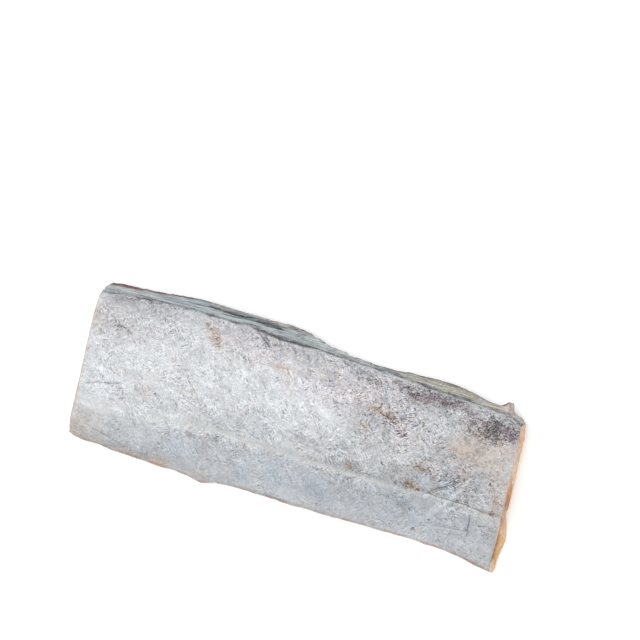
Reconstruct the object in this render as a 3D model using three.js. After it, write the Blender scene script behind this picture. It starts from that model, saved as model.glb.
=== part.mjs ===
// A middle section of a hairtail: a long, silvery, ribbon-shaped fish, cut straight through the body twice.
// The piece lies on one flank. +X points to the head, +Y to the back, and +Z up.
// All lengths are in millimetres.
import * as THREE from 'three';
import { mergeVertices } from 'three/addons/utils/BufferGeometryUtils.js';

// Driving dimensions
const LENGTH = 176.2; // between the two cuts, along the back
const DEPTH = 62; // from the belly edge to the back, where the fin grows
const THICKNESS = 18.4; // through both flanks before the lower one is pressed flat

// Cross-section: half the thickness grows from the belly edge as share^BELLY_POWER and
// falls to the back as (1 - share)^BACK_POWER, so the back is blunt and the belly is slim.
const BELLY_POWER = 0.62;
const BACK_POWER = 0.38;
const BELLY_EDGE = 0.9; // half the thickness of the belly edge
const BELLY_ROUND = 0.6; // how far the belly edge is rounded outwards
const BELLY_HEIGHT = 3.9; // height of the middle plane at the belly edge, which droops
const BACK_HEIGHT = 7.7; // height of the middle plane at the back
const TAB_REACH = 1.5; // torn scrap of skin that stands out of the belly edge
const TAB_MIDDLE = 55;
const TAB_WIDTH = 3.4;
const TAB_ROOT = 8; // how soon the scrap fades away from the edge

// Folded back fin: a thin leathery strip along the whole back
const FIN_ROOT = 1.3; // half the thickness where the fin grows out of the back
const FIN_TIP = 0.45; // half the thickness at its free edge
const FIN_DROOP = 0.22; // fall of the fin for each millimetre that it stands out
const ROOT_GROOVE = 0.7; // depth of the crease between flank and fin
const ROOT_GROOVE_WIDTH = 1.1;

// Lateral line: a shallow furrow low on the flank
const LATERAL_DEPTH = 0.45;
const LATERAL_WIDTH = 1.5;

// Cuts
const LEAN = 5.6; // the belly end of each cut lies this much further along X than the back end
const TAIL_BOW = 1; // how far the cut at the tail side bows outwards, low in the belly
const TAIL_BOW_MIDDLE = 9;
const TAIL_BOW_WIDTH = 13;
const TAIL_CORNER = 0.18; // rounding of its corner at the back, for each squared millimetre
const TAIL_CORNER_START = 58.8; // depth at which that rounding starts
const TAIL_CORNER_SPAN = 4.2; // depth over which it runs
const HEAD_BOW = 0.65; // how far the upper skin of the other cut bows outwards
const HEAD_BOW_UNDER = 0.4; // share of that bow at the lower skin
const FOOT = 0.8; // how far the cut at the tail side reaches outwards near the belly edge
const FOOT_MIDDLE = 3.4;
const FOOT_WIDTH = 6;
const SLANT = 1.6; // both cuts run this much along X from the upper flank to the lower
const CUT_BULGE = 0.5; // flesh that stands out between the two skins
const FLAP_REACH = 1.6; // extra reach of the lower belly wall at the head side
const FLAP_MIDDLE = 14; // its place, above the belly edge
const FLAP_WIDTH = 6;
const PINCH_DEPTH = 0.6; // notch in the cut between that wall and the thick flesh
const PINCH_MIDDLE = 24;
const PINCH_WIDTH = 2;
const SLIT_DEPTH = 2.6; // slit between the two belly walls
const SLIT_LOW = 3;
const SLIT_HIGH = 20;
const SLIT_ENDS = 3; // length over which it shallows at either end

// Soft unevenness of the upper flank
const SWELL = 0.2;
const SWELL_LENGTH = 47;

// How finely the surface is divided
const STEPS_ALONG = 78;
const STEPS_BODY = 23;
const STEPS_FIN = 3;
const ROWS_THROUGH = [0, 0.4, 0.72, 0.79, 0.86, 1]; // shares of the thickness that divide the cuts
const SLIT_ROW = 3; // the row at the bottom of the slit
const END_CROWDING = 0.4; // share of the steps along the body that crowd towards the cuts
const EDGE_CROWDING = 0.8; // share of the steps across the body that crowd towards its edges
const WELD = 1e-4;

// Edges of the side view, as [place along the body, depth above the belly]
const BELLY_LINE = [
  [0, 1.1], [1, 0.45], [3, 0.15], [8, 0], [20, -0.4], [42, -0.7], [56, -0.5], [70, 0.8],
  [90, 1.2], [120, 2.1], [142, 3.1], [158, 2.9], [170, 1.5], [LENGTH, 0.6],
];
const BACK_LINE = [
  [0, 58.5], [7, 60], [12, 60.8], [20, 61.5], [30, 62.3], [38, 62.8], [50, 63.2], [60, 63.5],
  [70, 63], [78, 62.6], [88, 63.1], [100, 63.2], [112, 63], [124, 62.8], [152, 62.3], [166, 61.9],
  [172, 61], [LENGTH, 59],
];
const FIN_LINE = [
  [0, 63.1], [4, 63.7], [8.6, 64.1], [17, 65], [25, 65.9], [32, 67.1], [38, 67.6], [43, 67.8],
  [57, 68], [72, 68.5], [79, 68.3], [85.3, 67.3], [92.7, 65], [98, 64], [116, 63.8], [124.4, 64.8],
  [130, 65.8], [140, 66.3], [152.4, 64.9], [160, 63.6], [166.2, 63.6], [168.4, 64.9], [170, 66.6],
  [171.3, 63.3], [174.4, 61.8], [LENGTH, 60],
];
const LATERAL_LINE = [
  [0, 14], [12, 15.3], [26, 17], [40, 17.9], [56, 19.3], [95, 19.4], [120, 19.7], [138, 20.5],
  [150, 21.8], [LENGTH, 21.2],
];

const mix = THREE.MathUtils.lerp;
const hump = (distance, width) => Math.exp(-((distance / width) ** 2));

// A smooth curve through the listed points: each slope is that of the chord between a point's neighbours.
function curveAt(points, place) {
  const last = points.length - 1;
  const found = points.findIndex(([x]) => x > place);
  const i = found < 0 ? last - 1 : Math.max(found - 1, 0);
  const slope = (k) => {
    const [x0, y0] = points[Math.max(k - 1, 0)];
    const [x1, y1] = points[Math.min(k + 1, last)];
    return (y1 - y0) / (x1 - x0);
  };
  const [x0, y0] = points[i];
  const [x1, y1] = points[i + 1];
  const span = x1 - x0;
  const t = THREE.MathUtils.clamp((place - x0) / span, 0, 1);
  const rise = t * t * (3 - 2 * t);
  const leave = t * (1 - t) * (1 - t) * slope(i);
  const arrive = t * t * (1 - t) * slope(i + 1);
  return mix(y0, y1, rise) + span * (leave - arrive);
}

// Even steps from 0 to 1, a share of which is crowded towards both ends.
function crowd(share, crowding) {
  return mix(share, (1 - Math.cos(Math.PI * share)) / 2, crowding);
}

// Half the body's thickness at a share of its depth, with a top value of 1.
function lens(share) {
  const widest = BELLY_POWER / (BELLY_POWER + BACK_POWER);
  const top = widest ** BELLY_POWER * (1 - widest) ** BACK_POWER;
  return (share ** BELLY_POWER * (1 - share) ** BACK_POWER) / top;
}

// Depth, middle height and half thickness of the section at a place along the body.
// across runs from 0 at the belly edge to 1 at the free edge of the fin.
function sectionAt(place, across) {
  const belly = curveAt(BELLY_LINE, place);
  const back = curveAt(BACK_LINE, place);
  const bodyShare = STEPS_BODY / (STEPS_BODY + STEPS_FIN);
  if (across <= bodyShare) {
    const share = crowd(across / bodyShare, EDGE_CROWDING);
    const edge = mix(BELLY_EDGE, FIN_ROOT, share);
    const tab = TAB_REACH * hump(place - TAB_MIDDLE, TAB_WIDTH) * Math.exp(-TAB_ROOT * share);
    return {
      depth: mix(belly, back, share) - tab,
      middle: mix(BELLY_HEIGHT, BACK_HEIGHT, Math.sin((share * Math.PI) / 2)),
      half: Math.hypot((THICKNESS / 2) * lens(share), edge),
    };
  }
  const fin = (across - bodyShare) / (1 - bodyShare);
  const depth = mix(back, curveAt(FIN_LINE, place), fin);
  return {
    depth,
    middle: BACK_HEIGHT - FIN_DROOP * (depth - back),
    half: mix(FIN_ROOT, FIN_TIP, fin),
  };
}

// Heights of the two flanks. The lower one is pressed flat where it would reach below the table.
function flanksAt(place, section) {
  const { depth, middle, half } = section;
  const back = curveAt(BACK_LINE, place);
  const furrow = LATERAL_DEPTH * hump(depth - curveAt(LATERAL_LINE, place), LATERAL_WIDTH);
  const crease = ROOT_GROOVE * hump(depth - back, ROOT_GROOVE_WIDTH);
  const swell = SWELL * lens(THREE.MathUtils.clamp(depth / DEPTH, 0, 1))
    * Math.sin((2 * Math.PI * (place + depth)) / SWELL_LENGTH);
  const give = furrow + Math.min(crease, half / 2);
  return {
    upper: middle + half - give + swell,
    lower: Math.max(middle - half + give, 0),
  };
}

// Where each cut runs, at a depth and on one of the rows from the lower skin to the upper.
function cutsAt(depth, row) {
  const through = ROWS_THROUGH[row];
  const lean = LEAN * (1 - depth / DEPTH);
  const slant = SLANT * (1 - through);
  const inBelly = THREE.MathUtils.smoothstep(depth, SLIT_LOW, SLIT_LOW + SLIT_ENDS)
    * (1 - THREE.MathUtils.smoothstep(depth, SLIT_HIGH - SLIT_ENDS, SLIT_HIGH));
  const slit = row === SLIT_ROW ? SLIT_DEPTH * inBelly : 0;
  const relief = CUT_BULGE * 4 * through * (1 - through) - slit;
  const round = TAIL_CORNER * THREE.MathUtils.clamp(depth - TAIL_CORNER_START, 0, TAIL_CORNER_SPAN) ** 2;
  const tailBow = TAIL_BOW * hump(depth - TAIL_BOW_MIDDLE, TAIL_BOW_WIDTH)
    + FOOT * hump(depth - FOOT_MIDDLE, FOOT_WIDTH);
  const headBow = HEAD_BOW * Math.sin(Math.PI * THREE.MathUtils.clamp(depth / DEPTH, 0, 1))
    * mix(HEAD_BOW_UNDER, 1, through);
  const flap = FLAP_REACH * hump(depth - FLAP_MIDDLE, FLAP_WIDTH) * (1 - through);
  const pinch = PINCH_DEPTH * hump(depth - PINCH_MIDDLE, PINCH_WIDTH) * (1 - through);
  return {
    tail: lean - tailBow + round + slant - relief,
    head: LENGTH + lean + headBow + slant + flap - pinch + relief,
  };
}

// Moves one point of the unit box to its place on the fish.
// along runs from cut to cut, across from belly to fin, and through from the lower flank to the upper.
function placePoint(along, across, through) {
  const share = crowd(along, END_CROWDING);
  const section = sectionAt(share * LENGTH, across);
  const { upper, lower } = flanksAt(share * LENGTH, section);
  const row = Math.round(through * (ROWS_THROUGH.length - 1));
  const level = ROWS_THROUGH[row];
  const roundBelly = across === 0 ? BELLY_ROUND * 4 * level * (1 - level) : 0;
  const { tail, head } = cutsAt(section.depth, row);
  return new THREE.Vector3(mix(tail, head, share), section.depth - roundBelly, mix(lower, upper, level));
}

function hairtailGeometry() {
  const rows = ROWS_THROUGH.length - 1;
  const box = new THREE.BoxGeometry(1, 1, 1, STEPS_ALONG, STEPS_BODY + STEPS_FIN, rows);
  box.deleteAttribute('normal');
  box.deleteAttribute('uv');
  const points = box.getAttribute('position');
  for (let i = 0; i < points.count; i += 1) {
    const moved = placePoint(points.getX(i) + 0.5, points.getY(i) + 0.5, points.getZ(i) + 0.5);
    points.setXYZ(i, moved.x, moved.y, moved.z);
  }
  const closed = mergeVertices(box, WELD);
  closed.computeBoundingBox();
  const centre = closed.boundingBox.getCenter(new THREE.Vector3());
  closed.translate(-centre.x, -centre.y, -closed.boundingBox.min.z);
  closed.computeVertexNormals();
  return closed;
}

const silverSkin = new THREE.MeshStandardMaterial({ color: 0xcdd0d4, roughness: 0.38, metalness: 0.25 });
const section = new THREE.Mesh(hairtailGeometry(), silverSkin);
section.name = 'hairtail_section';

const hairtail = new THREE.Group();
hairtail.add(section);

export default hairtail;
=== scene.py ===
"""A raw hairtail section on a pale table: silver skin, folded back fin and two cut faces.

Lengths are millimetres in the fish's own frame unless a name says otherwise. x runs along the body from the
tail-side cut to the head-side cut, y from the belly edge to the back, and z up from the table. The last step
of each piece turns its points into metres in the frame that carries the model.
"""
import logging
import math
from dataclasses import dataclass, field
from enum import IntEnum, StrEnum
from typing import Any

import bpy
import numpy as np
from mathutils import Matrix, Vector


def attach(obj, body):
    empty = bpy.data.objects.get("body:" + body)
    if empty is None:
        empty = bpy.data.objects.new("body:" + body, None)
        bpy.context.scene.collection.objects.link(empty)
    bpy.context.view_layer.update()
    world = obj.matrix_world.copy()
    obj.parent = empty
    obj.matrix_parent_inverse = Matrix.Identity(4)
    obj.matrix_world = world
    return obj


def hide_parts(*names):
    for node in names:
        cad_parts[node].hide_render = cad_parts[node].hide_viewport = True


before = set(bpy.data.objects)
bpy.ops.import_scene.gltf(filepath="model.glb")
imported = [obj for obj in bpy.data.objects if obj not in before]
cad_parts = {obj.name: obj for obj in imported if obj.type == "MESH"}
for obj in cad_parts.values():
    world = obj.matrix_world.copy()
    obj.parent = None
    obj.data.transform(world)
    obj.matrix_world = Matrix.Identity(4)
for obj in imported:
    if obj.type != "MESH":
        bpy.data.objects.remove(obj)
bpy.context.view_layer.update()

log = logging.getLogger("hairtail")

Array = np.ndarray
Range = tuple[float, float]
Points = tuple[tuple[float, float], ...]
Bands = tuple[tuple[float, float, float], ...]  # rows of middle, width and strength
Stretch = tuple[float, float, float, float]  # where something starts, is full, fades and ends
Waves = tuple[int, float, float]  # a seed, the shortest wave and the longest one
Colour = tuple[float, float, float]

NODE = "hairtail_section"
METRE = 1000.0  # millimetres in a metre
BODY_LENGTH = 176.2  # between the cuts, along the back
CENTRE = (92.1, 32.966)  # the fish's own x and y where the frame has its origin
WAVE_COUNT = 26  # sine waves in one sum
WHITE = (1.0, 1.0, 1.0, 1.0)
FAR = 9.0  # a distance at which no line shows
UPRIGHT = np.array([0.013, 0.021, 1.0])  # nearly straight up, so that no strand runs along it

BELLY_LINE: Points = (
    (0, 1.1), (1, 0.45), (3, 0.15), (8, 0), (20, -0.4), (42, -0.7), (56, -0.5), (70, 0.8), (90, 1.2),
    (120, 2.1), (142, 3.1), (158, 2.9), (170, 1.5), (BODY_LENGTH, 0.6),
)
BACK_LINE: Points = (
    (0, 58.5), (7, 60), (12, 60.8), (20, 61.5), (30, 62.3), (38, 62.8), (50, 63.2), (60, 63.5), (70, 63),
    (78, 62.6), (88, 63.1), (100, 63.2), (112, 63), (124, 62.8), (138, 62.4), (152, 62), (166, 61.7),
    (172, 61), (BODY_LENGTH, 59),
)
FIN_LINE: Points = (
    (0, 63.1), (4, 63.7), (8.6, 64.1), (17, 65), (25, 65.9), (32, 67.1), (38, 67.6), (43, 67.8), (57, 68),
    (72, 68.5), (79, 68.3), (85.3, 67.3), (92.7, 65.2), (98, 64.7), (106, 64.3), (116, 64.1), (124.4, 64.8),
    (130, 65.3), (140, 66.1), (147, 66.1), (152.4, 65.5), (160, 64.2), (166.4, 63.9), (168.3, 65.1),
    (169.9, 66.4), (170.8, 63.3), (174.4, 61.8), (BODY_LENGTH, 60),
)
LATERAL_LINE: Points = (
    (0, 14), (12, 15.3), (26, 17), (40, 17.9), (56, 19.3), (95, 19.4), (120, 19.7), (138, 20.5),
    (150, 21.8), (BODY_LENGTH, 21.2),
)


class Mark(StrEnum):
    """Kinds of mark, each named after the mesh attribute that holds its strength. Most are stains.
    SHADE lowers the tone and GLEAM raises it: painted shade and painted highlight, partly the skin's own
    darker and lighter tone. The mark for the groove where the fin meets the back is painted shade there,
    partly the fin base's own dark colour.
    """

    RUST = "rust"
    MAROON = "maroon"
    SOOT = "soot"
    PEACH = "peach"
    LILAC = "lilac"
    OLIVE = "olive"
    SHADE = "shade"
    CREASE = "crease"
    COARSE = "coarse"
    COMBED = "combed"
    BLUE = "blue"
    GLEAM = "gleam"


StainsAndShading = dict[Mark, tuple[tuple[float, ...], ...]]  # for each kind, the values of its blots
MOST = {Mark.SOOT: 0.84, Mark.MAROON: 0.8, Mark.OLIVE: 0.85}  # strengths that still leave specks apart


class Side(IntEnum):
    """The six sides of a box shell."""

    TAIL = 0
    HEAD = 1
    BELLY = 2
    BACK = 3
    UNDER = 4
    TOP = 5


class Coat(IntEnum):
    """Which of the body's two finishes a face takes."""

    SKIN = 0
    FLESH = 1


# Shapes in numpy.


def mix(low: Any, high: Any, share: Any) -> Any:
    """Returns the value that lies that share of the way from low to high."""
    return low + (high - low) * share


def hump(gap: Any, width: Any) -> Any:
    """Returns exp(-(gap / width) squared), which is 1 at no gap."""
    return np.exp(-((gap / width) ** 2))


def ease(value: Any, low: float, high: float) -> Any:
    """Returns 0 below low, 1 above high, and 3t^2 - 2t^3 between them."""
    t = np.clip((value - low) / (high - low), 0, 1)
    return t * t * (3 - 2 * t)


def stretch(value: Any, start: float, full: float, fade: float, end: float) -> Any:
    """Returns 0 outside start and end, 1 between full and fade, and eased steps between those."""
    return ease(value, start, full) * (1 - ease(value, fade, end))


def bands(value: Any, rows: Bands) -> Any:
    """Returns the sum of humps that each have their own middle, width and strength."""
    return sum(strength * hump(value - middle, width) for middle, width, strength in rows)


def crowd(share: Array, crowding: float) -> Array:
    """Returns even steps from 0 to 1, of which the share named crowding gathers at both ends by a cosine."""
    return mix(share, (1 - np.cos(np.pi * share)) / 2, crowding)


def curve_at(points: Points, place: Array) -> Array:
    """Reads a smooth curve through listed points.

    Between two points the curve is a cubic. Its slope at each point is that of the chord between the
    point's two neighbours.

    Args:
        points: Pairs of place and height, in order of place.
        place: Where the curve is read.

    Returns:
        The heights at those places.
    """
    xs, ys = np.array(points, dtype=float).T
    count = np.arange(len(xs))
    before, after = np.maximum(count - 1, 0), np.minimum(count + 1, len(xs) - 1)
    slope = (ys[after] - ys[before]) / (xs[after] - xs[before])
    i = np.clip(np.searchsorted(xs, place, side="right") - 1, 0, len(xs) - 2)
    span = xs[i + 1] - xs[i]
    t = np.clip((place - xs[i]) / span, 0, 1)
    leave, arrive = t * (1 - t) ** 2 * slope[i], t * t * (1 - t) * slope[i + 1]
    return mix(ys[i], ys[i + 1], t * t * (3 - 2 * t)) + span * (leave - arrive)


def waves(x: Array, y: Array, seed: int, shortest: float, longest: float) -> Array:
    """Adds up sine waves of seeded direction, phase and length, each as high as it is long.

    Args:
        x: Places along the first axis.
        y: Places along the second axis.
        seed: Start of the random draws.
        shortest: Shortest wave.
        longest: Longest wave.

    Returns:
        The sum at each place, with a mean of 0 and a spread of about 1.
    """
    draw = np.random.default_rng(seed)
    lengths = shortest * (longest / shortest) ** draw.random(WAVE_COUNT)
    turns, phases = draw.random(WAVE_COUNT) * np.pi, draw.random(WAVE_COUNT) * 2 * np.pi
    total = np.zeros_like(x)
    for length, turn, phase in zip(lengths, turns, phases):
        total += length * np.sin(2 * np.pi * (x * np.cos(turn) + y * np.sin(turn)) / length + phase)
    return total / math.sqrt(np.sum(lengths**2) / 2)


def ripples(x: Array, seed: int, shortest: float, longest: float) -> Array:
    """Returns seeded waves that change along one axis only."""
    return waves(x, x * 0, seed, shortest, longest)


@dataclass(frozen=True)
class Trail:
    """A crease or scratch along listed points."""

    points: Points
    width: float
    depth: float

    def gap(self, x: Array, y: Array) -> Array:
        """Works out the distance to the trail.

        Args:
            x: Places along the body.
            y: Places across the body.

        Returns:
            The distance to the nearest stretch, below 0 to the right of it as the trail runs.
        """
        gap = np.full_like(x, np.inf)
        for (x0, y0), (x1, y1) in zip(self.points, self.points[1:]):
            dx, dy = x1 - x0, y1 - y0
            t = np.clip(((x - x0) * dx + (y - y0) * dy) / (dx * dx + dy * dy), 0, 1)
            sign = np.where((y - y0) * dx > (x - x0) * dy, 1.0, -1.0)
            off = sign * np.hypot(x - x0 - t * dx, y - y0 - t * dy)
            gap = np.where(np.abs(off) < np.abs(gap), off, gap)
        return gap

    def cover(self, x: Array, y: Array) -> Array:
        """Returns 1 on the line, falling off as a hump of the distance."""
        return hump(self.gap(x, y), self.width)


@dataclass(frozen=True)
class Blot:
    """An oval blot of a stain, of painted shade or of a painted highlight: middle, half length, half width,
    strength and turn in degrees.
    """

    x: float
    y: float
    along: float
    across: float
    strength: float
    turn: float = 0.0

    def cover(self, x: Array, y: Array) -> Array:
        """Works out the blot's strength at each place.

        Args:
            x: Places along the body.
            y: Places across the body.

        Returns:
            The strength, falling off as a hump of the distance measured in the oval's own half sizes.
        """
        cos, sin = math.cos(math.radians(self.turn)), math.sin(math.radians(self.turn))
        u = ((x - self.x) * cos + (y - self.y) * sin) / self.along
        v = ((y - self.y) * cos - (x - self.x) * sin) / self.across
        return self.strength * hump(np.hypot(u, v), 1.0)


CREASES = tuple(Trail(tuple(points), width, depth) for width, depth, *points in (
    (0.5, 0.3, (65.9, 62.4), (69.4, 60.1), (73.5, 57.6)), (0.45, 0.26, (68.6, 62.6), (72.5, 59)),
    (0.45, 0.3, (74.9, 61.8), (77.5, 59)), (0.6, 0.3, (78.8, 62), (79.9, 59.7)),
    (0.4, 0.24, (80.6, 62), (81.9, 59.6)), (0.4, 0.24, (84.9, 61.6), (87.9, 58.4)),
    (0.45, 0.22, (82.6, 59.9), (84.7, 56.4)), (0.5, 0.26, (87.4, 60.6), (90.7, 56)),
    (0.4, 0.2, (92.7, 61.8), (95.9, 58.8)), (0.4, 0.2, (58.5, 62), (62.2, 59)),
    (0.45, 0.2, (102.1, 61), (105.5, 60.2)), (0.4, 0.16, (104.7, 58.9), (110.7, 57.4)),
    (0.5, 0.2, (107.7, 61.3), (113.6, 59.7)), (0.4, 0.26, (100.7, 62.2), (105.8, 60.4), (111, 58.2)),
    (0.4, 0.22, (103.3, 62.4), (108.2, 60.9), (112.6, 58.9)), (0.45, 0.2, (113.2, 58.6), (119.5, 56.5)),
    (0.35, 0.15, (89.1, 28.5), (96.2, 27.5), (103, 26.4)), (0.35, 0.12, (91.3, 29.9), (102.2, 28.1)),
    (0.35, 0.12, (94.3, 26.2), (105.2, 24.5)), (0.35, 0.15, (97.6, 28), (104.8, 26.8)),
    (0.35, 0.1, (68.3, 24.9), (74.3, 23.7)), (0.35, 0.1, (90.3, 33.9), (99.2, 31.7)),
    (0.35, 0.12, (59.9, 43.9), (63.7, 41.3)), (0.4, 0.18, (73.1, 45.6), (76.5, 43)),
    (0.4, 0.14, (74.3, 44), (77.7, 41)), (0.35, 0.16, (89.7, 50.8), (94.4, 49.6)),
    (0.35, 0.18, (112.8, 60.4), (119.7, 57.7)),
    (0.45, 0.26, (148.7, 21.6), (150.4, 22.4), (154, 22.2), (164.5, 22.6), (178.3, 21.8)),
    (0.5, 0.3, (148.7, 21.6), (152.6, 25), (157.6, 28), (162.2, 31.6)),
    (0.6, 0.34, (152.9, 24.5), (155.7, 26)), (0.45, 0.28, (168.7, 19.1), (169, 15), (169.7, 10.6)),
    (0.5, 0.1, (156.9, 11.3), (162.8, 11.9), (169.6, 13)),
    (0.35, 0.16, (6.2, 21.4), (11.4, 23.7), (18.8, 25.1)),
    (0.35, 0.16, (10, 5.7), (19.4, 4.1), (28.1, 2.1)),
    (0.3, 0.09, (44.3, 34.8), (44.5, 27.8), (44.1, 20.8)), (0.3, 0.09, (45.9, 24.9), (52.1, 24.2)),
    (0.3, 0.3, (85.3, 34.8), (87.2, 34.5)), (0.3, 0.3, (107, 26.7), (108, 26.4)),
    (0.3, 0.3, (95.1, 46.9), (95.8, 46.7)), (0.3, 0.12, (73.7, 32.5), (80.9, 31)),
    (0.3, 0.3, (108.2, 17.3), (108.6, 16.5)), (0.3, 0.14, (75.3, 22.9), (81.3, 21.4)),
))
# Painted shade in the creases: deeper creases are drawn darker.
CREASE_SHADE = 4.4  # darkness for each millimetre of a crease's depth
CREASE_REACH = 1.2  # distance over which the ink falls off
CREASE_FADE = 2.4  # distance over which a crease fades towards its ends
CREASE_WAVES: Waves = (77, 1.6, 7)
DASH_WAVES: Waves = (73, 2, 12)
DASH_STRAY: Waves = (71, 3, 15)
DASH_DROP = 0.35  # how far below the back the dashes run
RIDGE_DASHES: Bands = (
    (4, 3, 0.4), (22, 8, 0.35), (51, 8, 0.3), (65, 6, 0.5), (75, 6, 0.7), (86, 7, 0.7), (98, 6, 0.4),
    (109, 4, 0.4), (115.6, 3, 0.6), (124, 3.2, 0.6), (56.2, 0.8, 0.9), (71.4, 1.6, 0.8), (80, 0.8, 0.9),
    (85.8, 1.6, 1.1), (68.6, 2.4, 0.7), (137, 5.6, 0.7), (148.2, 2, 0.6), (155.6, 2.6, 0.55),
)


def trace(trails: tuple[Trail, ...], x: Array, y: Array) -> tuple[Array, Array]:
    """Finds the nearest trail to each place.

    The signed distance changes evenly across a line, so a finish can draw the line thinner than the mesh.
    Each line is painted shade along one of the creases, fades towards its ends and wavers in darkness.

    Args:
        trails: The trails.
        x: Places along the body.
        y: Places across the body.

    Returns:
        The signed distance to the nearest trail, and how dark its line is there.
    """
    side, ink = np.full_like(x, FAR), np.zeros_like(x)
    for trail in trails:
        gap = trail.gap(x, y)
        nearer = np.abs(gap) < np.abs(side)
        side = np.where(nearer, gap, side)
        ends = np.minimum(*(np.hypot(x - trail.points[i][0], y - trail.points[i][1]) for i in (0, -1)))
        fade = mix(0.25, 1.0, ease(ends, 0, CREASE_FADE))
        ink = np.where(nearer, CREASE_SHADE * trail.depth * hump(gap, CREASE_REACH) * fade, ink)
    return side, np.clip(ink * (0.8 + 0.25 * waves(x, y, *CREASE_WAVES)), 0, 1)


def ridge_dashes(x: Array, y: Array) -> tuple[Array, Array]:
    """Works out the broken dark line where the fin grows out of the back: partly the fin base's own dark
    dots, partly painted shade where the fin meets the back.

    Args:
        x: Places along the body.
        y: Depths above the belly.

    Returns:
        The signed distance to the line, which is less where the line is thick, and how dark it is: seeded
        waves plus a hump for each listed dash.
    """
    ink = np.clip(0.35 + 0.3 * ripples(x, *DASH_WAVES) + bands(x, RIDGE_DASHES), 0.1, 1.6)
    gap = y - curve_at(BACK_LINE, x) + DASH_DROP + 0.16 * ripples(x, *DASH_STRAY)
    side = gap / (0.5 + 0.8 * ink)
    return side, np.minimum(ink, 1) * hump(side, 1.5)


def stain(stains: StainsAndShading, x: Array, y: Array) -> dict[Mark, Array]:
    """Adds up the blots of each kind: stains, painted shade and painted highlights.

    Args:
        stains: For each kind of stain, painted shade and painted highlight, the values of its blots.
        x: Places along the body.
        y: Places across the body.

    Returns:
        For every kind of mark, its strength at each place, from 0 to the most that leaves its specks apart.
    """
    marks = {kind: np.zeros_like(x) for kind in Mark}
    for kind, blots in stains.items():
        for values in blots:
            marks[kind] += Blot(*values).cover(x, y)
    return {kind: np.clip(cover, 0, MOST.get(kind, 1.0)) for kind, cover in marks.items()}


@dataclass(frozen=True)
class Shell:
    """The outside of a box that is divided into a grid along, across and through."""

    along: int
    across: int
    through: int

    def lattice(self) -> tuple[Array, Array, Array]:
        """Numbers the points on the outside of the grid and joins them into squares that face outwards.

        Returns:
            Shares from 0 to 1 for each point, the four points of each square, and each square's side.
        """
        steps = (self.along, self.across, self.through)
        outside = np.ones([n + 1 for n in steps], dtype=bool)
        outside[1:-1, 1:-1, 1:-1] = False
        numbers = np.full(outside.shape, -1)
        numbers[outside] = np.arange(outside.sum())
        sheets = {
            Side.TAIL: numbers[0].T,
            Side.HEAD: numbers[-1],
            Side.BELLY: numbers[:, 0],
            Side.BACK: numbers[:, -1].T,
            Side.UNDER: numbers[:, :, 0].T,
            Side.TOP: numbers[:, :, -1],
        }
        faces, sides = [], []
        for side, sheet in sheets.items():
            squares = np.stack([sheet[:-1, :-1], sheet[1:, :-1], sheet[1:, 1:], sheet[:-1, 1:]], axis=-1)
            faces.append(squares.reshape(-1, 4))
            sides.append(np.full(len(faces[-1]), side))
        return np.argwhere(outside) / steps, np.concatenate(faces), np.concatenate(sides)


def tube(path: Array, radius: Array, sides: int) -> tuple[Array, Array]:
    """Carries a round profile along a path.

    Each ring stands square to the path's own direction, and its points are the path's point plus radius
    times the cosine and sine of even angles along two directions that are square to the path.

    Args:
        path: Points of the middle line, one row each.
        radius: Radius at each point, small at both ends, so that one face can close each of them.
        sides: Points on a ring.

    Returns:
        The tube's points, and its faces as rows of four point numbers.
    """
    forward = np.vstack([path[1:], path[-1:]]) - np.vstack([path[:1], path[:-1]])
    forward /= np.linalg.norm(forward, axis=1, keepdims=True)
    first = np.cross(forward, UPRIGHT)
    first /= np.linalg.norm(first, axis=1, keepdims=True)
    second = np.cross(first, forward)
    angle = 2 * np.pi * np.arange(sides) / sides
    ring = first[:, None] * np.cos(angle)[None, :, None] + second[:, None] * np.sin(angle)[None, :, None]
    points = path[:, None] + radius[:, None, None] * ring
    i, k = np.meshgrid(np.arange(len(path) - 1), np.arange(sides), indexing="ij")
    here, following = i * sides, (k + 1) % sides
    faces = np.stack([here + k, here + following, here + sides + following, here + sides + k], axis=-1)
    return points.reshape(-1, 3), faces.reshape(-1, 4)


@dataclass
class Mesh:
    """Points, faces and attributes of one piece, gathered before they go into Blender."""

    points: Array
    faces: list[list[int]]
    attributes: dict[str, Array] = field(default_factory=dict)

    def place(self, name: str, slot: str) -> bpy.types.Object:
        """Makes the piece's object, in metres, hangs it under the root frame and hides the imported part.

        Args:
            name: The piece's name.
            slot: Not used.

        Returns:
            The new object, at the origin, unturned and unscaled.
        """
        mesh = bpy.data.meshes.new(name)
        moved = (self.points - np.array([*CENTRE, 0.0])) / METRE
        mesh.from_pydata(moved.tolist(), [], self.faces)
        mesh.polygons.foreach_set("use_smooth", np.ones(len(mesh.polygons), dtype=bool))
        for key, values in self.attributes.items():
            attribute = mesh.attributes.new(key, "FLOAT", "POINT")
            attribute.data.foreach_set("value", np.asarray(values, dtype=np.float32))
        mesh.update()
        piece = bpy.data.objects.new(name, mesh)
        bpy.context.scene.collection.objects.link(piece)
        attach(piece, "root")
        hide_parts(NODE)
        return piece


def join(meshes: list[Mesh]) -> Mesh:
    """Joins meshes that have the same attributes.

    Args:
        meshes: The meshes, in order.

    Returns:
        One mesh, in which the points of each follow those of the one before.
    """
    firsts = np.cumsum([0] + [len(mesh.points) for mesh in meshes[:-1]])
    faces = [[int(i + first) for i in face] for mesh, first in zip(meshes, firsts) for face in mesh.faces]
    looks = {key: np.concatenate([mesh.attributes[key] for mesh in meshes]) for key in meshes[0].attributes}
    return Mesh(np.vstack([mesh.points for mesh in meshes]), faces, looks)


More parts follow.
